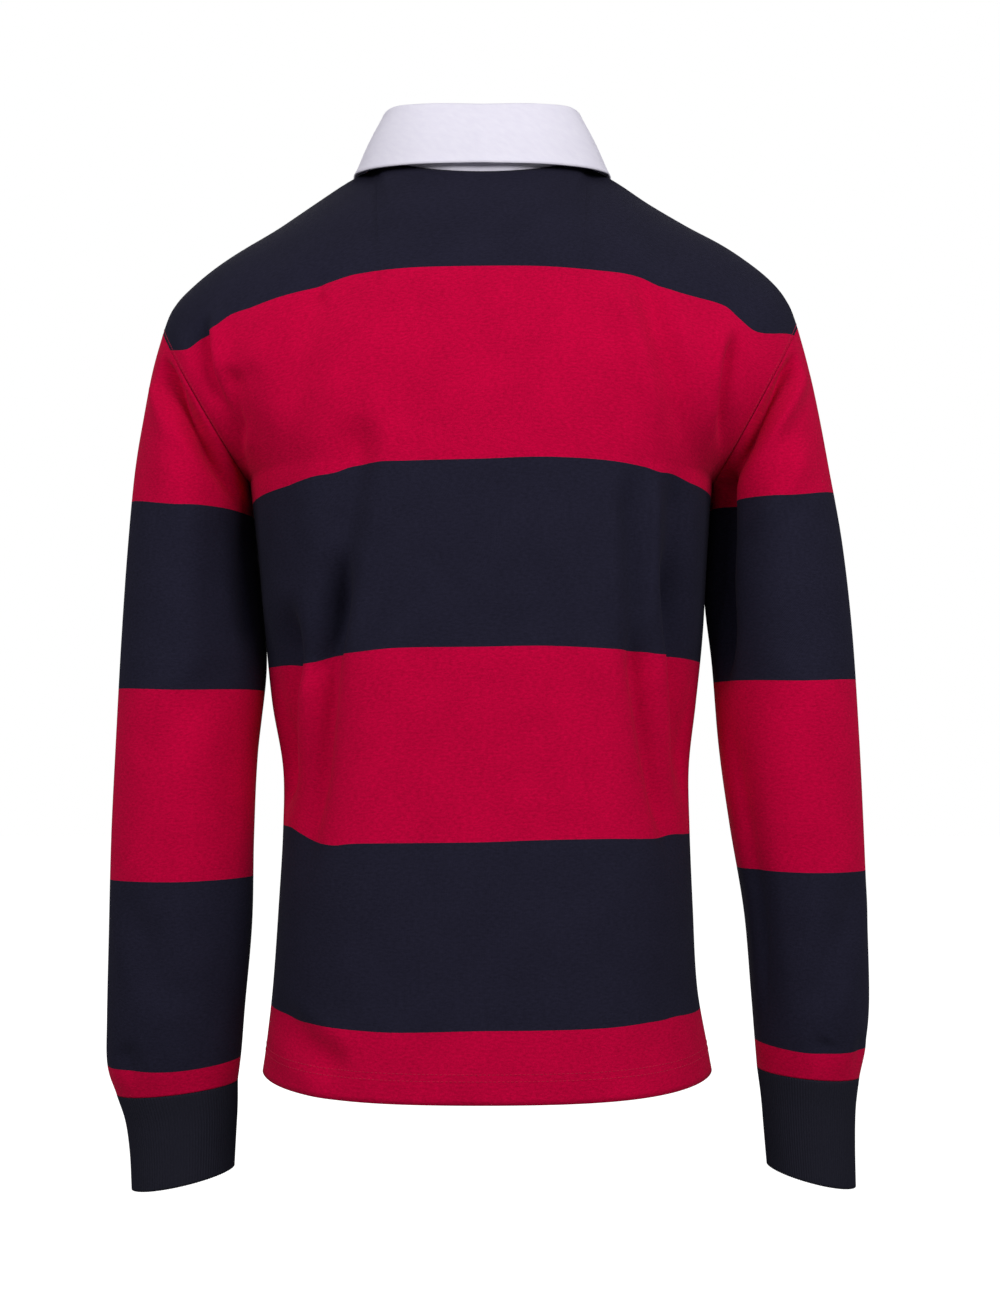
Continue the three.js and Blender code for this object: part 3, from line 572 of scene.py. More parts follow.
# Across a sleeve a fold is placed by its turn in degrees: 0 next to the body, 90 at the back
LEFT_SLEEVE_FOLDS = columns(FOLD_NAMES, [
    (126, 186, 92, 224, 36, 285, 10, 18, 0.5, 0.15, 0.4),
    (140, 196, 124, 222, 100, 256, 9, -3, 0.6, 0.1, 0),
    (146, 220, 116, 250, 72, 330, 18, -2.5, 0.8, 0.2, 0),
    (20, 300, 30, 360, 28, 410, 16, 6, 0.6, 0, 0),
    (40, 290, 62, 380, 50, 470, 20, 3, 0.8, 0.2, 0),
    (60, 430, 90, 470, 120, 500, 20, 2.5, 0.8, 0.2, 0),
    (300, 240, 270, 290, 235, 350, 22, 6, 0.6, 0.4, 0),
    (320, 440, 290, 470, 262, 505, 20, 5, 0.6, 0.4, 0),
    (130, 600, 105, 650, 80, 690, 18, 3, 0.7, 0.3, 0),
    (128, 722, 122, 742, 118, 768, 14, 4, 0.5, 0.3, 0),
])
RIGHT_SLEEVE_FOLDS = columns(FOLD_NAMES, [
    (124, 182, 88, 218, 34, 275, 10, 17, 0.5, 0.15, 0.4),
    (138, 188, 112, 216, 82, 252, 9, -4, 0.6, 0.1, 0),
    (120, 256, 94, 290, 62, 318, 12, -3, 0.6, 0.2, 0),
    (20, 262, 26, 330, 20, 430, 14, 28, 0.6, 0, 0.2),
    (26, 470, 34, 570, 30, 700, 14, 5, 0.4, 0.1, 0.3),
    (300, 240, 270, 290, 235, 350, 22, 6, 0.6, 0.4, 0),
    (320, 440, 290, 470, 262, 505, 20, 5, 0.6, 0.4, 0),
    (140, 590, 110, 640, 80, 690, 18, 3.5, 0.7, 0.3, 0),
    (96, 716, 92, 732, 88, 758, 14, 3.5, 0.6, 0.3, 0),
    (146, 718, 142, 736, 138, 760, 12, 3, 0.6, 0.3, 0),
])


def ring_at(rings, side, at, key):
    """One column of a table of rings, for the sleeve on this side."""
    names = {"out": "out_left" if side > 0 else "out_right", "in": "in_left" if side > 0 else "in_right"}
    values = along(rings, "order", at, names.get(key, key))
    if side < 0 and key in ("out_drop", "in_drop"):
        outer = along(rings, "order", at, "out_drop")
        rise = RIGHT_SLEEVE_RISE * ease((outer - OUTER_RISE["from"]) / OUTER_RISE["over"])
        if rings is CUFF:
            rise = rise * (1 - CUFF_CATCH_UP * at)
        inner_share = INNER_RISE["share"] * ease((values - INNER_RISE["from"]) / INNER_RISE["over"])
        values = values - rise * (1 if key == "out_drop" else inner_share)
    return values


def tube(rings, side, turn, at, folds=None):
    """An ellipse round a middle, tilted by the drops of its outer and inner points, with the
    side next to the body tucked to the front."""
    out, inner = ring_at(rings, side, at, "out"), ring_at(rings, side, at, "in")
    out_drop, in_drop = ring_at(rings, side, at, "out_drop"), ring_at(rings, side, at, "in_drop")
    if rings is SLEEVE and side < 0:
        out_drop = out_drop + (TIP_DROP[-1] - SLEEVE["out_drop"][0]) * np.clip(1 - at, 0, 1)
    across, depth = (out - inner) / 2, ring_at(rings, side, at, "depth")
    x = (out + inner) / 2 - across * np.cos(turn)
    y = ring_at(rings, side, at, "middle") + depth * np.sin(turn)
    y = y - ring_at(rings, side, at, "tuck") * np.maximum(np.cos(turn), 0) ** 2
    drop = (out_drop + in_drop) / 2 - (out_drop - in_drop) / 2 * np.cos(turn)
    if folds is not None:
        last = rings["order"][-1]
        calm = ease(at / (CALM_ROWS * CALM_SHARE_ABOVE)) * ease((last - at) / CALM_ROWS)
        degrees = np.degrees(turn) % 360
        push = calm * fold_depth(folds, degrees, drop)
        x = x + push * np.cos(turn)
        y = y - push * np.sin(turn)
    return np.stack([side * x, y, -drop], -1)


# %% [markdown]
# The sleeve's hoops climb a little towards its outer side, because the sleeve head is set in at
# a slant. The courses level out again lower down, and next to the body they are pulled up.

# %% Sleeves
SLEEVE_AROUND = 150
SLEEVE_DOWN = 220
HOOP_TILT = columns("drop outer inner", [
    (140, 12, 4), (299, 10, -3), (447, 3, -3), (598, 0, -2), (741, 0, -5), (770, 0, -5),
])
TILT_POWER = 1.5
OFF_ARMHOLE = (0.87, 0, -0.5)


def sleeve_piece(name, side, folds):
    """The sleeve's tube, standing off the armhole by the seam's gap."""
    turn = 2 * np.pi * np.arange(SLEEVE_AROUND) / SLEEVE_AROUND
    at = (SLEEVE["order"][-1] * np.linspace(0, 1, SLEEVE_DOWN + 1))[:, None]
    turn, at = np.broadcast_arrays(turn[None, :], at)
    points = tube(SLEEVE, side, turn, at, folds)
    stand_off = SEAM_GAP * ease(1 - at)[..., None] * (np.array([side, 1, 1]) * OFF_ARMHOLE)
    points = points + stand_off
    drop, inner = -points[..., 2], np.cos(turn)
    outer_tilt, inner_tilt = (along(HOOP_TILT, "drop", drop, key) for key in ("outer", "inner"))
    drop = drop + outer_tilt * np.maximum(-inner, 0) ** TILT_POWER
    drop = drop - inner_tilt * np.maximum(inner, 0) ** TILT_POWER
    uv = np.stack([flat_lengths(points), drop], -1)
    return cloth(name, points, JERSEY, uv, tube=True, out=side), points


sleeve_left, left_points = sleeve_piece("sleeve_of_left_arm", 1, LEFT_SLEEVE_FOLDS)
sleeve_right, right_points = sleeve_piece("sleeve_of_right_arm", -1, RIGHT_SLEEVE_FOLDS)
print("faces of a sleeve:", len(sleeve_left.data.polygons))

# %% [markdown]
# The cuffs are knitted in a narrow rib that grips the wrist. A bump map could hint at the ribs,
# but they show along the open end, so they are real ridges: the radius swells and sinks more
# than a hundred times round the tube.

# %% Cuffs
CUFF_RIBS = 116
RIB_STEPS = 6
RIB_DEEP = 0.55
CUFF_DOWN = 36


def cuff_piece(name, side):
    """The cuff's tube with a raised cosine of the turn as its ribs."""
    around = CUFF_RIBS * RIB_STEPS
    turn = 2 * np.pi * np.arange(around) / around
    at = (CUFF["order"][-1] * np.linspace(0, 1, CUFF_DOWN + 1))[:, None]
    turn, at = np.broadcast_arrays(turn[None, :], at)
    points = tube(CUFF, side, turn, at)
    points[..., 2] -= SEAM_GAP
    rib = RIB_DEEP * (0.5 - 0.5 * np.cos(CUFF_RIBS * turn))
    plain = grid_normals(points, True) * side
    points = points - plain * rib[..., None]
    uv = np.stack([flat_lengths(points), -points[..., 2]], -1)
    return cloth(name, points, RIB - RIB_DEEP, uv, tube=True, out=side, normals=plain), points


cuff_left, cuff_left_points = cuff_piece("cuff_of_left_sleeve", 1)
cuff_right, cuff_right_points = cuff_piece("cuff_of_right_sleeve", -1)
print("faces of a cuff:", len(cuff_left.data.polygons))

# %% [markdown]
# The collar is one strip of twill: a stand that rises from the neck seam, a fold along its top,
# and the leaf that falls over it. Its section is drawn at each place round the neck and swept
# from one front end to the other.

# %% Collar
COLLAR_TOP = columns("share x y z", [
    (0, 0, 47, 32), (0.18, 46, 43, 34), (0.34, 76, 24, 37), (0.5, 80, -8, 28),
    (0.68, 66, -46, -2), (0.84, 36, -73, -38), (1, 3, -84, -56),
])
COLLAR_EDGE = columns("share x y z", [
    (0, 0, 61, -21), (0.18, 58, 50, -18.5), (0.34, 97, 24, -14), (0.5, 108, -10, -11),
    (0.68, 105, -48, -35), (0.84, 83, -84, -78), (1, 48, -112, -125),
])
COLLAR_PARTING = 0.05
COLLAR_ROUND = 80
STAND_STEPS = 10
ROLL_STEPS = 8
LEAF_STEPS = 22
FOLD_HALF = 2.4
NECK_CENTRE = -10
STAND_OFF = 0.2
FRONT_RISE = 0.6
LEAF_SWELL = 1.5
SWELL_ENDS = 1.15


def collar_section(share, side):
    """Stand, rolled fold and leaf at a share of the way to the front, as one line of points."""
    around = share * (np.pi - COLLAR_PARTING)
    face_front = around >= np.pi / 2
    x = NECK_HALF * np.sin(around)
    back_y, back_z = top_edge(side, 1, x)
    front_y, front_z = top_edge(side, -1, x)
    seam_y, seam_z = np.where(face_front, front_y, back_y), np.where(face_front, front_z, back_z)
    seam = np.stack([side * x, seam_y, seam_z], -1)
    top, edge = (
        np.stack([along(table, "share", share, name) for name in "xyz"], -1) * [side, 1, 1]
        for table in (COLLAR_TOP, COLLAR_EDGE)
    )
    inward = np.stack([-seam[:, 0], NECK_CENTRE - seam[:, 1], 0 * x], -1)
    inward /= np.linalg.norm(inward, axis=-1, keepdims=True)
    base = seam + inward * (TWILL + STAND_OFF)
    base[:, 2] += SEAM_GAP + FRONT_RISE * share
    out = (edge - top) * [1, 1, 0]
    out /= np.linalg.norm(out, axis=-1, keepdims=True)
    near = top - FOLD_HALF * out - [0, 0, FOLD_HALF]
    far = top + FOLD_HALF * out - [0, 0, FOLD_HALF]
    lines = [base + (near - base) * t for t in np.arange(STAND_STEPS) / STAND_STEPS]
    for angle in np.linspace(np.pi, 0, ROLL_STEPS + 1):
        roll = out * np.cos(angle) + np.array([0, 0, np.sin(angle) - 1])
        lines.append(top + FOLD_HALF * roll)
    for t in np.arange(1, LEAF_STEPS + 1) / LEAF_STEPS:
        swell = LEAF_SWELL * np.sin(np.pi * min(t * SWELL_ENDS, 1))
        lines.append(far + (edge - far) * t + out * swell)
    return np.stack(lines, 1)


share = np.arange(COLLAR_ROUND + 1) / COLLAR_ROUND
collar_points = np.concatenate([collar_section(share[:0:-1], -1), collar_section(share, 1)])
collar_flat = flat_lengths(collar_points)
collar_along = flat_lengths(collar_points.transpose(1, 0, 2)).T
collar = cloth("collar_of_twill", collar_points, TWILL, np.stack([collar_along, collar_flat], -1), out=1)
print("faces of the collar:", len(collar.data.polygons))

# %% [markdown]
# The placket closes the slot in the front with two strips, one under and one over, and three
# buttons. They lie on the panel's own surface, moved out by the thickness of what is below.

# %% Placket
PLACKET_LAP = 1.5
PLACKET_TAIL = 14
PLACKET_ACROSS = 12
PLACKET_DOWN = 60
UNDER_FROM_ROW = 1.004


def placket_piece(name, half, from_row, height):
    """A strip of the front panel's surface, moved out along its normals by a height."""
    row = from_row + (2 - from_row) * np.linspace(0, 1, PLACKET_DOWN + 1)[:, None]
    x = np.linspace(-half, half, PLACKET_ACROSS + 1)[None, :]
    x, row = np.broadcast_arrays(x, row)
    reach = np.where(x < 0, side_edge(-1, -1, row)[0], side_edge(1, -1, row)[0])
    points = panel(-1, np.arcsin(x / reach), row)
    normals = grid_normals(points, False)
    points = points + normals * height
    uv = np.stack([x, -points[..., 2]], -1)
    return cloth(name, points, TWILL, uv, out=1, normals=normals), points


under_half, over_half = PLACKET_HALF - SEAM_GAP, PLACKET_HALF + PLACKET_LAP
tail_row = 1 - PLACKET_TAIL / (HEM_DROP - ARMPIT_DROP)
over_height = 2 * SEAM_GAP + TWILL
placket_under, under_points = placket_piece("placket_below", under_half, UNDER_FROM_ROW, 0)
placket_over, over_points = placket_piece("placket_above", over_half, tail_row, over_height)

# %% [markdown]
# Two rows of stitches hold the hem up, one runs beside each armhole seam and one along each
# edge of the placket. Each stitch lies on the cloth and sinks in at both ends, so it is a small
# spindle with few faces. A row is a line at one distance from an edge, measured on the cloth,
# so it follows every fold.

# %% Stitches
STITCH_PITCH = 3.2
STITCH_LONG = 2.5
STITCH_THICK = 0.5
STITCH_SIDES = 6
SPINDLE = ((-0.5, 0.3), (-0.25, 1), (0.25, 1), (0.5, 0.3))
SINK_BELOW = 0.7
HEM_ROWS = (17, 22)
ARMHOLE_ROW = 3
PLACKET_ROW = 2.5


def inset_line(points, normals, distance):
    """The line that lies a distance in from the grid's first column, row by row, and the
    cloth's normals along it."""
    run = flat_lengths(points)
    line = np.empty((2, len(points), 3))
    for row in range(len(points)):
        for axis in range(3):
            line[0, row, axis] = np.interp(distance, run[row], points[row, :, axis])
            line[1, row, axis] = np.interp(distance, run[row], normals[row, :, axis])
    return line


def stitch_rows(name, lines):
    """Spindles along each line: rings whose radius swells from the ends to the middle, each
    given by its place along the stitch and its share of the thickness."""
    corners, quads = [], []
    turns = 2 * np.pi * np.arange(STITCH_SIDES) / STITCH_SIDES
    for line, normals in lines:
        run = np.pad(np.cumsum(np.linalg.norm(np.diff(line, axis=0), axis=1)), (1, 0))
        for middle in np.arange(STITCH_PITCH, run[-1] - STITCH_PITCH, STITCH_PITCH):
            ends = middle + np.array([-0.5, 0, 0.5]) * STITCH_LONG
            a, centre, b = (np.array([np.interp(at, run, line[:, k]) for k in range(3)]) for at in ends)
            up = np.array([np.interp(middle, run, normals[:, k]) for k in range(3)])
            ahead = (b - a) / np.linalg.norm(b - a)
            beside = np.cross(up, ahead)
            beside /= np.linalg.norm(beside)
            up = np.cross(ahead, beside)
            first = len(corners)
            for share, swell in SPINDLE:
                lift = 0.5 * STITCH_THICK * (swell - SINK_BELOW)
                heart = centre + ahead * share * STITCH_LONG + up * lift
                for turn in turns:
                    reach = up * np.sin(turn) + beside * np.cos(turn)
                    corners.append(heart + 0.5 * STITCH_THICK * swell * reach)
            for ring in range(len(SPINDLE) - 1):
                for step in range(STITCH_SIDES):
                    start = first + ring * STITCH_SIDES
                    p, q = start + step, start + (step + 1) % STITCH_SIDES
                    quads.append((p, q, q + STITCH_SIDES, p + STITCH_SIDES))
            quads.append(tuple(first + STITCH_SIDES - 1 - k for k in range(STITCH_SIDES)))
            last = first + (len(SPINDLE) - 1) * STITCH_SIDES
            quads.append(tuple(last + k for k in range(STITCH_SIDES)))
    mesh = bpy.data.meshes.new(name)
    mesh.from_pydata((np.array(corners) * MM).tolist(), [], quads)
    piece = placed(name, mesh)
    print(name, "stitches:", len(corners) // (len(SPINDLE) * STITCH_SIDES))
    return piece


sewing = {}
for face, points in ((1, back_points), (-1, front_points)):
    normals = grid_normals(points, False) * -face
    upright = points.transpose(1, 0, 2), normals.transpose(1, 0, 2)
    lines = [inset_line(*upright, distance) for distance in HEM_ROWS]
    for turned in (slice(None), slice(None, None, -1)):
        high = slice(LOW_CELLS + 2, -2)
        lines.append(inset_line(points[high, turned], normals[high, turned], ARMHOLE_ROW))
    name = "sewing_of_the_back" if face > 0 else "sewing_of_the_front"
    sewing[face] = stitch_rows(name, lines)
over_normals = grid_normals(over_points, False)
placket_lines = [
    inset_line(over_points[:, turned], over_normals[:, turned], PLACKET_ROW)
    for turned in (slice(None), slice(None, None, -1))
]
placket_sewing = stitch_rows("sewing_of_the_placket", placket_lines)

# %% [markdown]
# Jersey is a plain knit of cotton: fine columns of loops, a soft bloom of fibres on top, and a
# dye that takes a little unevenly. The hoops are read from the cloth's own coordinate, which
# runs down the cloth in metres, so they stay on it as it folds.

# %% Node helpers
def node(tree, kind, inputs=None, **values):
    """A node with its settings and its inputs, each input a number, a colour or a link."""
    made = tree.nodes.new(kind)
    for name, value in values.items():
        setattr(made, name, value)
    for name, value in (inputs or {}).items():
        if isinstance(value, bpy.types.NodeSocket):
            tree.links.new(value, made.inputs[name])
        else:
            made.inputs[name].default_value = value
    return made


def shaded(name, roughness, sheen, specular):
    """A new material with a Principled shader, as (material, tree, shader)."""
    material = bpy.data.materials.new(name)
    material.use_nodes = True
    tree = material.node_tree
    shader = tree.nodes["Principled BSDF"]
    shader.inputs["Roughness"].default_value = roughness
    shader.inputs["Sheen Weight"].default_value = sheen
    shader.inputs["Sheen Roughness"].default_value = 0.5
    shader.inputs["Specular IOR Level"].default_value = specular
    return material, tree, shader


def raised(tree, shader, height, strength, distance):
    """Bump from a height, a distance in metres deep."""
    settings = {"Height": height, "Strength": strength, "Distance": distance}
    bump = node(tree, "ShaderNodeBump", settings)
    tree.links.new(bump.outputs[0], shader.inputs["Normal"])


MIX_A, MIX_B, MIX_RESULT = 6, 7, 2


def two_shades(tree, shader, noise, dark, light):
    """The base colour wanders between two shades with a noise."""
    shades = node(tree, "ShaderNodeMix", {"Factor": noise.outputs[0]}, data_type="RGBA")
    shades.inputs[MIX_A].default_value = dark
    shades.inputs[MIX_B].default_value = light
    tree.links.new(shades.outputs[MIX_RESULT], shader.inputs["Base Color"])


def linear(red, green, blue):
    """A screen colour of 0 to 255 as the linear colour that a shader reads."""
    screen = np.array([red, green, blue]) / 255
    light = np.where(screen <= 0.04045, screen / 12.92, ((screen + 0.055) / 1.055) ** 2.4)
    return (*light.tolist(), 1)


RED = linear(189, 3, 57)
NAVY = linear(33, 32, 47)

# %% [markdown]
# The body and each sleeve are cut from one kind of cloth, but their hoops don't meet at the
# same drops, because a sleeve is set in lower. Painting the mesh face by face would leave steps
# along a hoop's edge, so a ramp with hard stops reads the cloth's coordinate instead.

# %% Jersey with its hoops
LEFT_HOOPS = (-400, 299, 445, 593, 741)
RIGHT_HOOPS = (-400, 292, 437, 584.5, 726)
HOOP_SPAN = 0.9
WALE = 0.0012
COURSE = 0.0009
LOOPS_SHARE = 0.12
BROAD_SHARE = 0.2


def jersey(name, hoops):
    """Navy and red hoops, the knit's loops as bump, and a mottle in both colours."""
    material, tree, shader = shaded(name, roughness=0.95, sheen=0.015, specular=0.03)
    cloth_map = node(tree, "ShaderNodeUVMap", uv_map="cloth").outputs["UV"]
    parts = node(tree, "ShaderNodeSeparateXYZ", {"Vector": cloth_map})
    down = node(tree, "ShaderNodeMath", {0: parts.outputs["Y"], 1: 1 / HOOP_SPAN}, operation="MULTIPLY")
    ramp = node(tree, "ShaderNodeValToRGB", {"Fac": down.outputs[0]})
    ramp.color_ramp.interpolation = "CONSTANT"
    stops = ramp.color_ramp.elements
    stops[0].position, stops[0].color = 0, NAVY
    stops.remove(stops[1])
    for index, drop in enumerate(hoops):
        stop = stops.new(max(drop * MM / HOOP_SPAN, 0))
        stop.color = (RED, NAVY)[index % 2]
    mottle_place = node(tree, "ShaderNodeMapping", {"Vector": cloth_map, "Scale": (0.6, 1.3, 1)})
    grain = {"Vector": mottle_place.outputs[0], "Scale": 480, "Detail": 4, "Roughness": 0.75}
    mottle = node(tree, "ShaderNodeTexNoise", grain)
    broad = node(tree, "ShaderNodeTexNoise", {"Vector": cloth_map, "Scale": 30, "Detail": 2})
    both = {0: broad.outputs[0], 1: BROAD_SHARE, 2: mottle.outputs[0]}
    blend = node(tree, "ShaderNodeMath", both, operation="MULTIPLY_ADD")
    span = {"Value": blend.outputs[0], "From Min": 0.3, "From Max": 0.9, "To Min": 0.62, "To Max": 1.38}
    level = node(tree, "ShaderNodeMapRange", span)
    dyed = {0: ramp.outputs[0], "Scale": level.outputs[0]}
    tint = node(tree, "ShaderNodeVectorMath", dyed, operation="SCALE")
    tree.links.new(tint.outputs[0], shader.inputs["Base Color"])
    waves = []
    for axis, pitch in (("X", WALE), ("Y", COURSE)):
        scaled = {0: parts.outputs[axis], 1: 2 * math.pi / pitch}
        phase = node(tree, "ShaderNodeMath", scaled, operation="MULTIPLY")
        waves.append(node(tree, "ShaderNodeMath", {0: phase.outputs[0]}, operation="SINE").outputs[0])
    loops = node(tree, "ShaderNodeMath", {0: waves[0], 1: waves[1]}, operation="ADD")
    knit = {0: loops.outputs[0], 1: LOOPS_SHARE, 2: mottle.outputs[0]}
    height = node(tree, "ShaderNodeMath", knit, operation="MULTIPLY_ADD")
    raised(tree, shader, height.outputs[0], strength=0.5, distance=0.0006)
    return material


body_jersey = jersey("jersey_of_the_body", BODY_HOOPS)
left_jersey = jersey("jersey_of_the_left_sleeve", LEFT_HOOPS)
right_jersey = jersey("jersey_of_the_right_sleeve", RIGHT_HOOPS)

# %% [markdown]
# The cuffs are a firm cotton rib, the collar and the placket a woven twill, and the buttons
# moulded rubber. Each could share the jersey's nodes with another colour, but a weave shines
# and shades unlike a knit, so each has nodes of its own.

# %% Rib, twill, rubber and thread
TWILL_SLANT = 58
THREAD_LIGHTER = 1.3


def knitted_rib():
    """Navy rib, a little darker than the jersey because light sinks between its ridges."""
    material, tree, shader = shaded("rib_of_the_cuffs", roughness=0.95, sheen=0.02, specular=0.06)
    cloth_map = node(tree, "ShaderNodeUVMap", uv_map="cloth").outputs["UV"]
    mottle = node(tree, "ShaderNodeTexNoise", {"Vector": cloth_map, "Scale": 500, "Detail": 3})
    two_shades(tree, shader, mottle, linear(28, 28, 38), linear(37, 37, 48))
    raised(tree, shader, mottle.outputs[0], strength=0.4, distance=0.0004)
    return material


def woven_twill():
    """White cotton with the fine slanting lines of a twill weave."""
    material, tree, shader = shaded("twill_of_the_collar", roughness=0.85, sheen=0.05, specular=0.15)
    cloth_map = node(tree, "ShaderNodeUVMap", uv_map="cloth").outputs["UV"]
    turned = (0, 0, math.radians(TWILL_SLANT))
    slant = node(tree, "ShaderNodeMapping", {"Vector": cloth_map, "Rotation": turned})
    lines = {"Vector": slant.outputs[0], "Scale": 420, "Distortion": 0.6, "Detail": 1}
    weave = node(tree, "ShaderNodeTexWave", lines)
    mottle = node(tree, "ShaderNodeTexNoise", {"Vector": cloth_map, "Scale": 160, "Detail": 3})
    two_shades(tree, shader, mottle, linear(226, 222, 238), linear(238, 235, 247))
    raised(tree, shader, weave.outputs[1], strength=0.12, distance=0.0003)
    return material


def moulded_rubber():
    """White rubber with a faint unevenness from the mould."""
    material, tree, shader = shaded("rubber_of_the_buttons", roughness=0.5, sheen=0, specular=0.4)
    place = node(tree, "ShaderNodeTexCoord").outputs["Object"]
    cloud = node(tree, "ShaderNodeTexNoise", {"Vector": place, "Scale": 900, "Detail": 2})
    two_shades(tree, shader, cloud, linear(222, 219, 226), linear(238, 236, 241))
    return material


def sewing_thread(name, colour):
    """Cotton thread with a slight change of shade from stitch to stitch."""
    material, tree, shader = shaded(name, roughness=0.8, sheen=0.05, specular=0.2)
    place = node(tree, "ShaderNodeTexCoord").outputs["Object"]
    cloud = node(tree, "ShaderNodeTexNoise", {"Vector": place, "Scale": 300, "Detail": 2})
    brighter = (*[THREAD_LIGHTER * part for part in colour[:3]], 1)
    two_shades(tree, shader, cloud, colour, brighter)
    return material


rib_material, twill_material, rubber_material = knitted_rib(), woven_twill(), moulded_rubber()
red_thread = sewing_thread("red_thread", linear(176, 12, 56))
white_thread = sewing_thread("white_thread", linear(222, 218, 232))
print("materials:", len(bpy.data.materials))

# %% [markdown]
# The imported frame knows each piece by its node. Every cloth made here names the node that it
# stands for, so the solid below it is hidden. The buttons are left as solids, because their
# packed form is already true, and get rubber.

# %% Every piece gets its cloth, and the solid that it stands for is hidden
def dress(piece, material, slot, *nodes):
    """Gives a piece its material and hides the solid that it stands for."""
    piece.data.materials.clear()
    piece.data.materials.append(material)
    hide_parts(*nodes)


dress(back, body_jersey, "hooped_jersey", "back_panel")
dress(front, body_jersey, "hooped_jersey", "front_panel")
dress(sleeve_left, left_jersey, "hooped_jersey", "sleeve_left")
dress(sleeve_right, right_jersey, "hooped_jersey", "sleeve_right")
dress(cuff_left, rib_material, "navy_rib", "cuff_left")
dress(cuff_right, rib_material, "navy_rib", "cuff_right")
dress(collar, twill_material, "white_twill", "collar")
dress(placket_under, twill_material, "white_twill", "placket_under")
dress(placket_over, twill_material, "white_twill", "placket_over")
for threads in sewing.values():
    threads.data.materials.append(red_thread)
placket_sewing.data.materials.append(white_thread)
for place in ("top", "middle", "low"):
    button = frame["nodes"]["button_" + place]
    button.data.materials.clear()
    button.data.materials.append(rubber_material)

# %% [markdown]
# Every piece is a sheet that was cut flat. Its flat size is measured here from the surface that
# shows, all round on a tube.

# %% Flat sizes
def surface_area(points, tube=False):
    """Sum of the areas of the grid's cells, as half the cross product of their diagonals."""
    if tube:
        points = np.concatenate([points, points[:, :1]], axis=1)
    a = points[1:, 1:] - points[:-1, :-1]
    b = points[1:, :-1] - points[:-1, 1:]
    return float(np.linalg.norm(np.cross(a, b), axis=-1).sum() / 2) * MM**2


def declare(piece, points, tube=False, level_rows=None):
    """Says the cut of a sheet: the rectangle that it comes out of, whose width is the longest
    of its level rows or of them all, and its own area."""
    closed = np.concatenate([points, points[:, :1]], axis=1) if tube else points
    area = surface_area(points, tube)
    width = float(flat_lengths(closed[:level_rows])[:, -1].max()) * MM
    length = float(flat_lengths(points.transpose(1, 0, 2))[:, -1].max()) * MM
    width *= max(1, area / (width * length))
    print(piece.name, "cut:", round(width, 3), "x", round(length, 3), "m, area", round(area, 4))


# Above the armholes a panel's rows bend along the shoulders and the neck, and run too long
to_armhole = LOW_CELLS + 1
declare(back, back_points, level_rows=to_armhole)
declare(front, front_points, level_rows=to_armhole)
declare(sleeve_left, left_points, tube=True)
declare(sleeve_right, right_points, tube=True)
declare(cuff_left, cuff_left_points, tube=True)
declare(cuff_right, cuff_right_points, tube=True)
declare(collar, collar_points)
declare(placket_under, under_points)
declare(placket_over, over_points)

# %% [markdown]
# The light is that of a photographer's table: two soft boxes beside the camera, the right one
# stronger, so that the sleeves shade the gaps next to the body, which one light at the camera
# would leave bright. The surround is white and gives little light, and a third box lights the
# front for the views from there.

# %% Light, floor and surround
def soft_light(name, place, target, size, watts):
    """A square area light at a place, turned to face a target."""
    lamp = bpy.data.objects.new(name, bpy.data.lights.new(name, "AREA"))
    lamp.data.size, lamp.data.energy = size, watts
    lamp.location = place
    aim = np.array(target) - np.array(place)
    flat = math.hypot(aim[0], aim[1])
    lamp.rotation_euler = (math.atan2(flat, -aim[2]), 0, math.atan2(-aim[0], aim[1]))
    bpy.context.collection.objects.link(lamp)


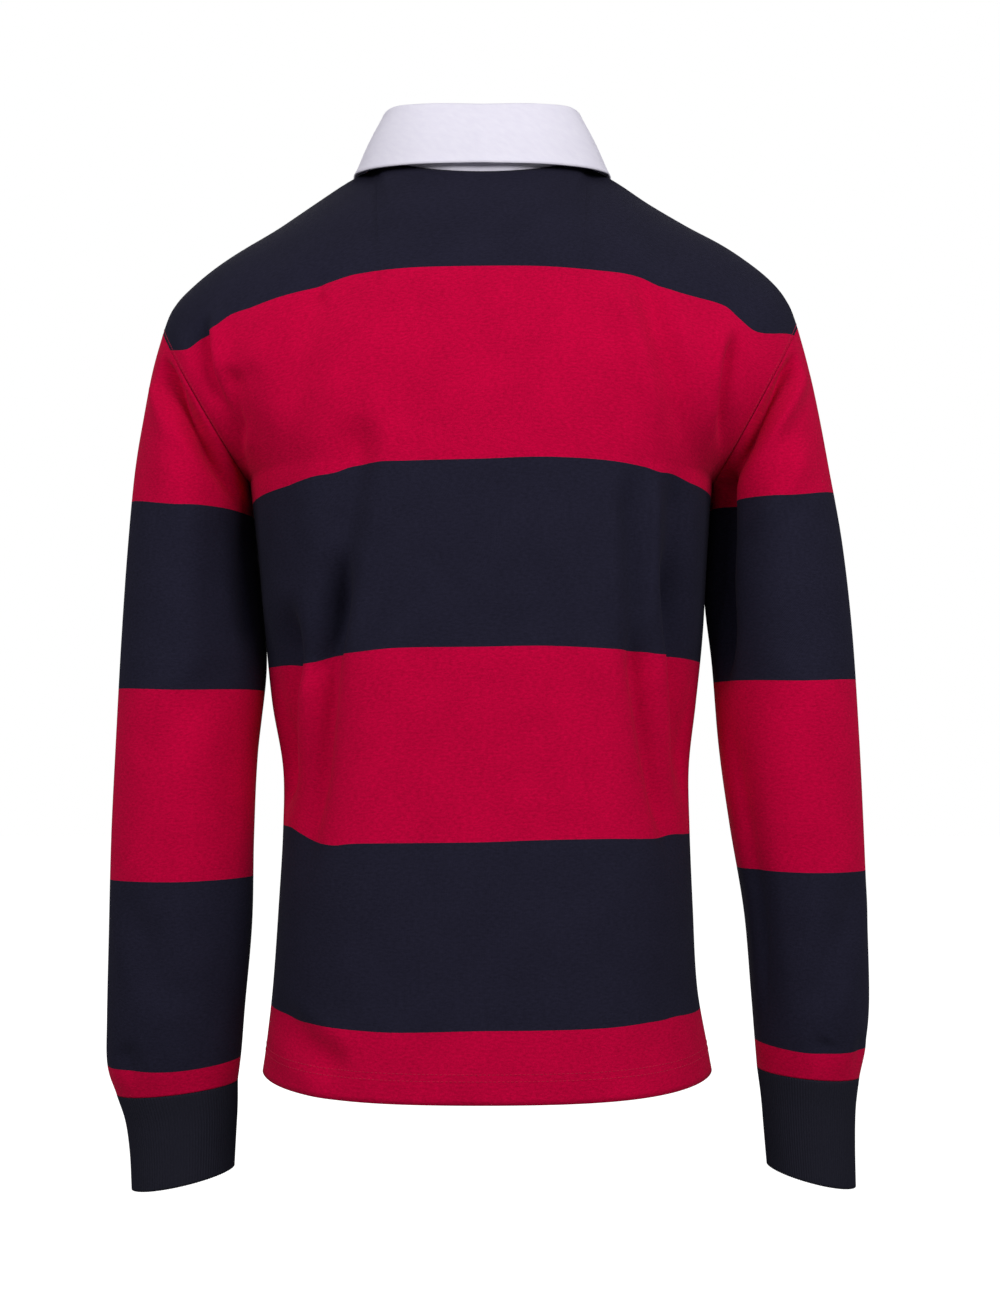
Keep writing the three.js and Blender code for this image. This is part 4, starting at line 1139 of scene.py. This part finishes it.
MIDDLE = (0, 0, -0.4)
soft_light("left_box", (1.15, 1.45, 0.35), MIDDLE, size=0.9, watts=17)
soft_light("right_box", (-1.15, 1.45, 0.35), MIDDLE, size=0.9, watts=21)
soft_light("front_box", (0.4, -2.6, 1.2), MIDDLE, size=2, watts=44)

FLOOR_LEVEL = -1.05
FLOOR_HALF = 14
FLOOR_GREY = 0.3
FLOOR_GLOW = 0.97
SURROUND_LIGHT = 0.25
SURROUND_SEEN = 1.0
floor_mesh = bpy.data.meshes.new("floor")
floor_signs = ((-1, -1), (1, -1), (1, 1), (-1, 1))
floor_corners = [(x * FLOOR_HALF, y * FLOOR_HALF, FLOOR_LEVEL) for x, y in floor_signs]
floor_mesh.from_pydata(floor_corners, [], [(0, 1, 2, 3)])
floor = bpy.data.objects.new("floor", floor_mesh)
bpy.context.collection.objects.link(floor)
floor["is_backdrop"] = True
floor_material, floor_tree, floor_shader = shaded("floor_paint", roughness=0.9, sheen=0, specular=0)
floor_shader.inputs["Base Color"].default_value = (*[FLOOR_GREY] * 3, 1)
floor_shader.inputs["Emission Color"].default_value = (1, 1, 1, 1)
seen = node(floor_tree, "ShaderNodeLightPath").outputs["Is Camera Ray"]
glow = node(floor_tree, "ShaderNodeMath", {0: seen, 1: FLOOR_GLOW}, operation="MULTIPLY")
floor_tree.links.new(glow.outputs[0], floor_shader.inputs["Emission Strength"])
floor.data.materials.append(floor_material)

world = bpy.data.worlds.new("surround")
bpy.context.scene.world = world
world.use_nodes = True
surround = world.node_tree.nodes["Background"]
surround.inputs["Color"].default_value = (1, 1, 1, 1)
seen = node(world.node_tree, "ShaderNodeLightPath").outputs["Is Camera Ray"]
strengths = {"Value": seen, "To Min": SURROUND_LIGHT, "To Max": SURROUND_SEEN}
strength = node(world.node_tree, "ShaderNodeMapRange", strengths)
world.node_tree.links.new(strength.outputs[0], surround.inputs["Strength"])
bpy.context.scene.view_settings.view_transform = "Standard"

# %% [markdown]
# The last step prints the overall boxes of the imported solids and of what shows now.

# %% Sizes and finish
size_rows = {"cad": cad_box, "visual": [list(corner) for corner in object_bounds()]}
print("size:", size_rows)
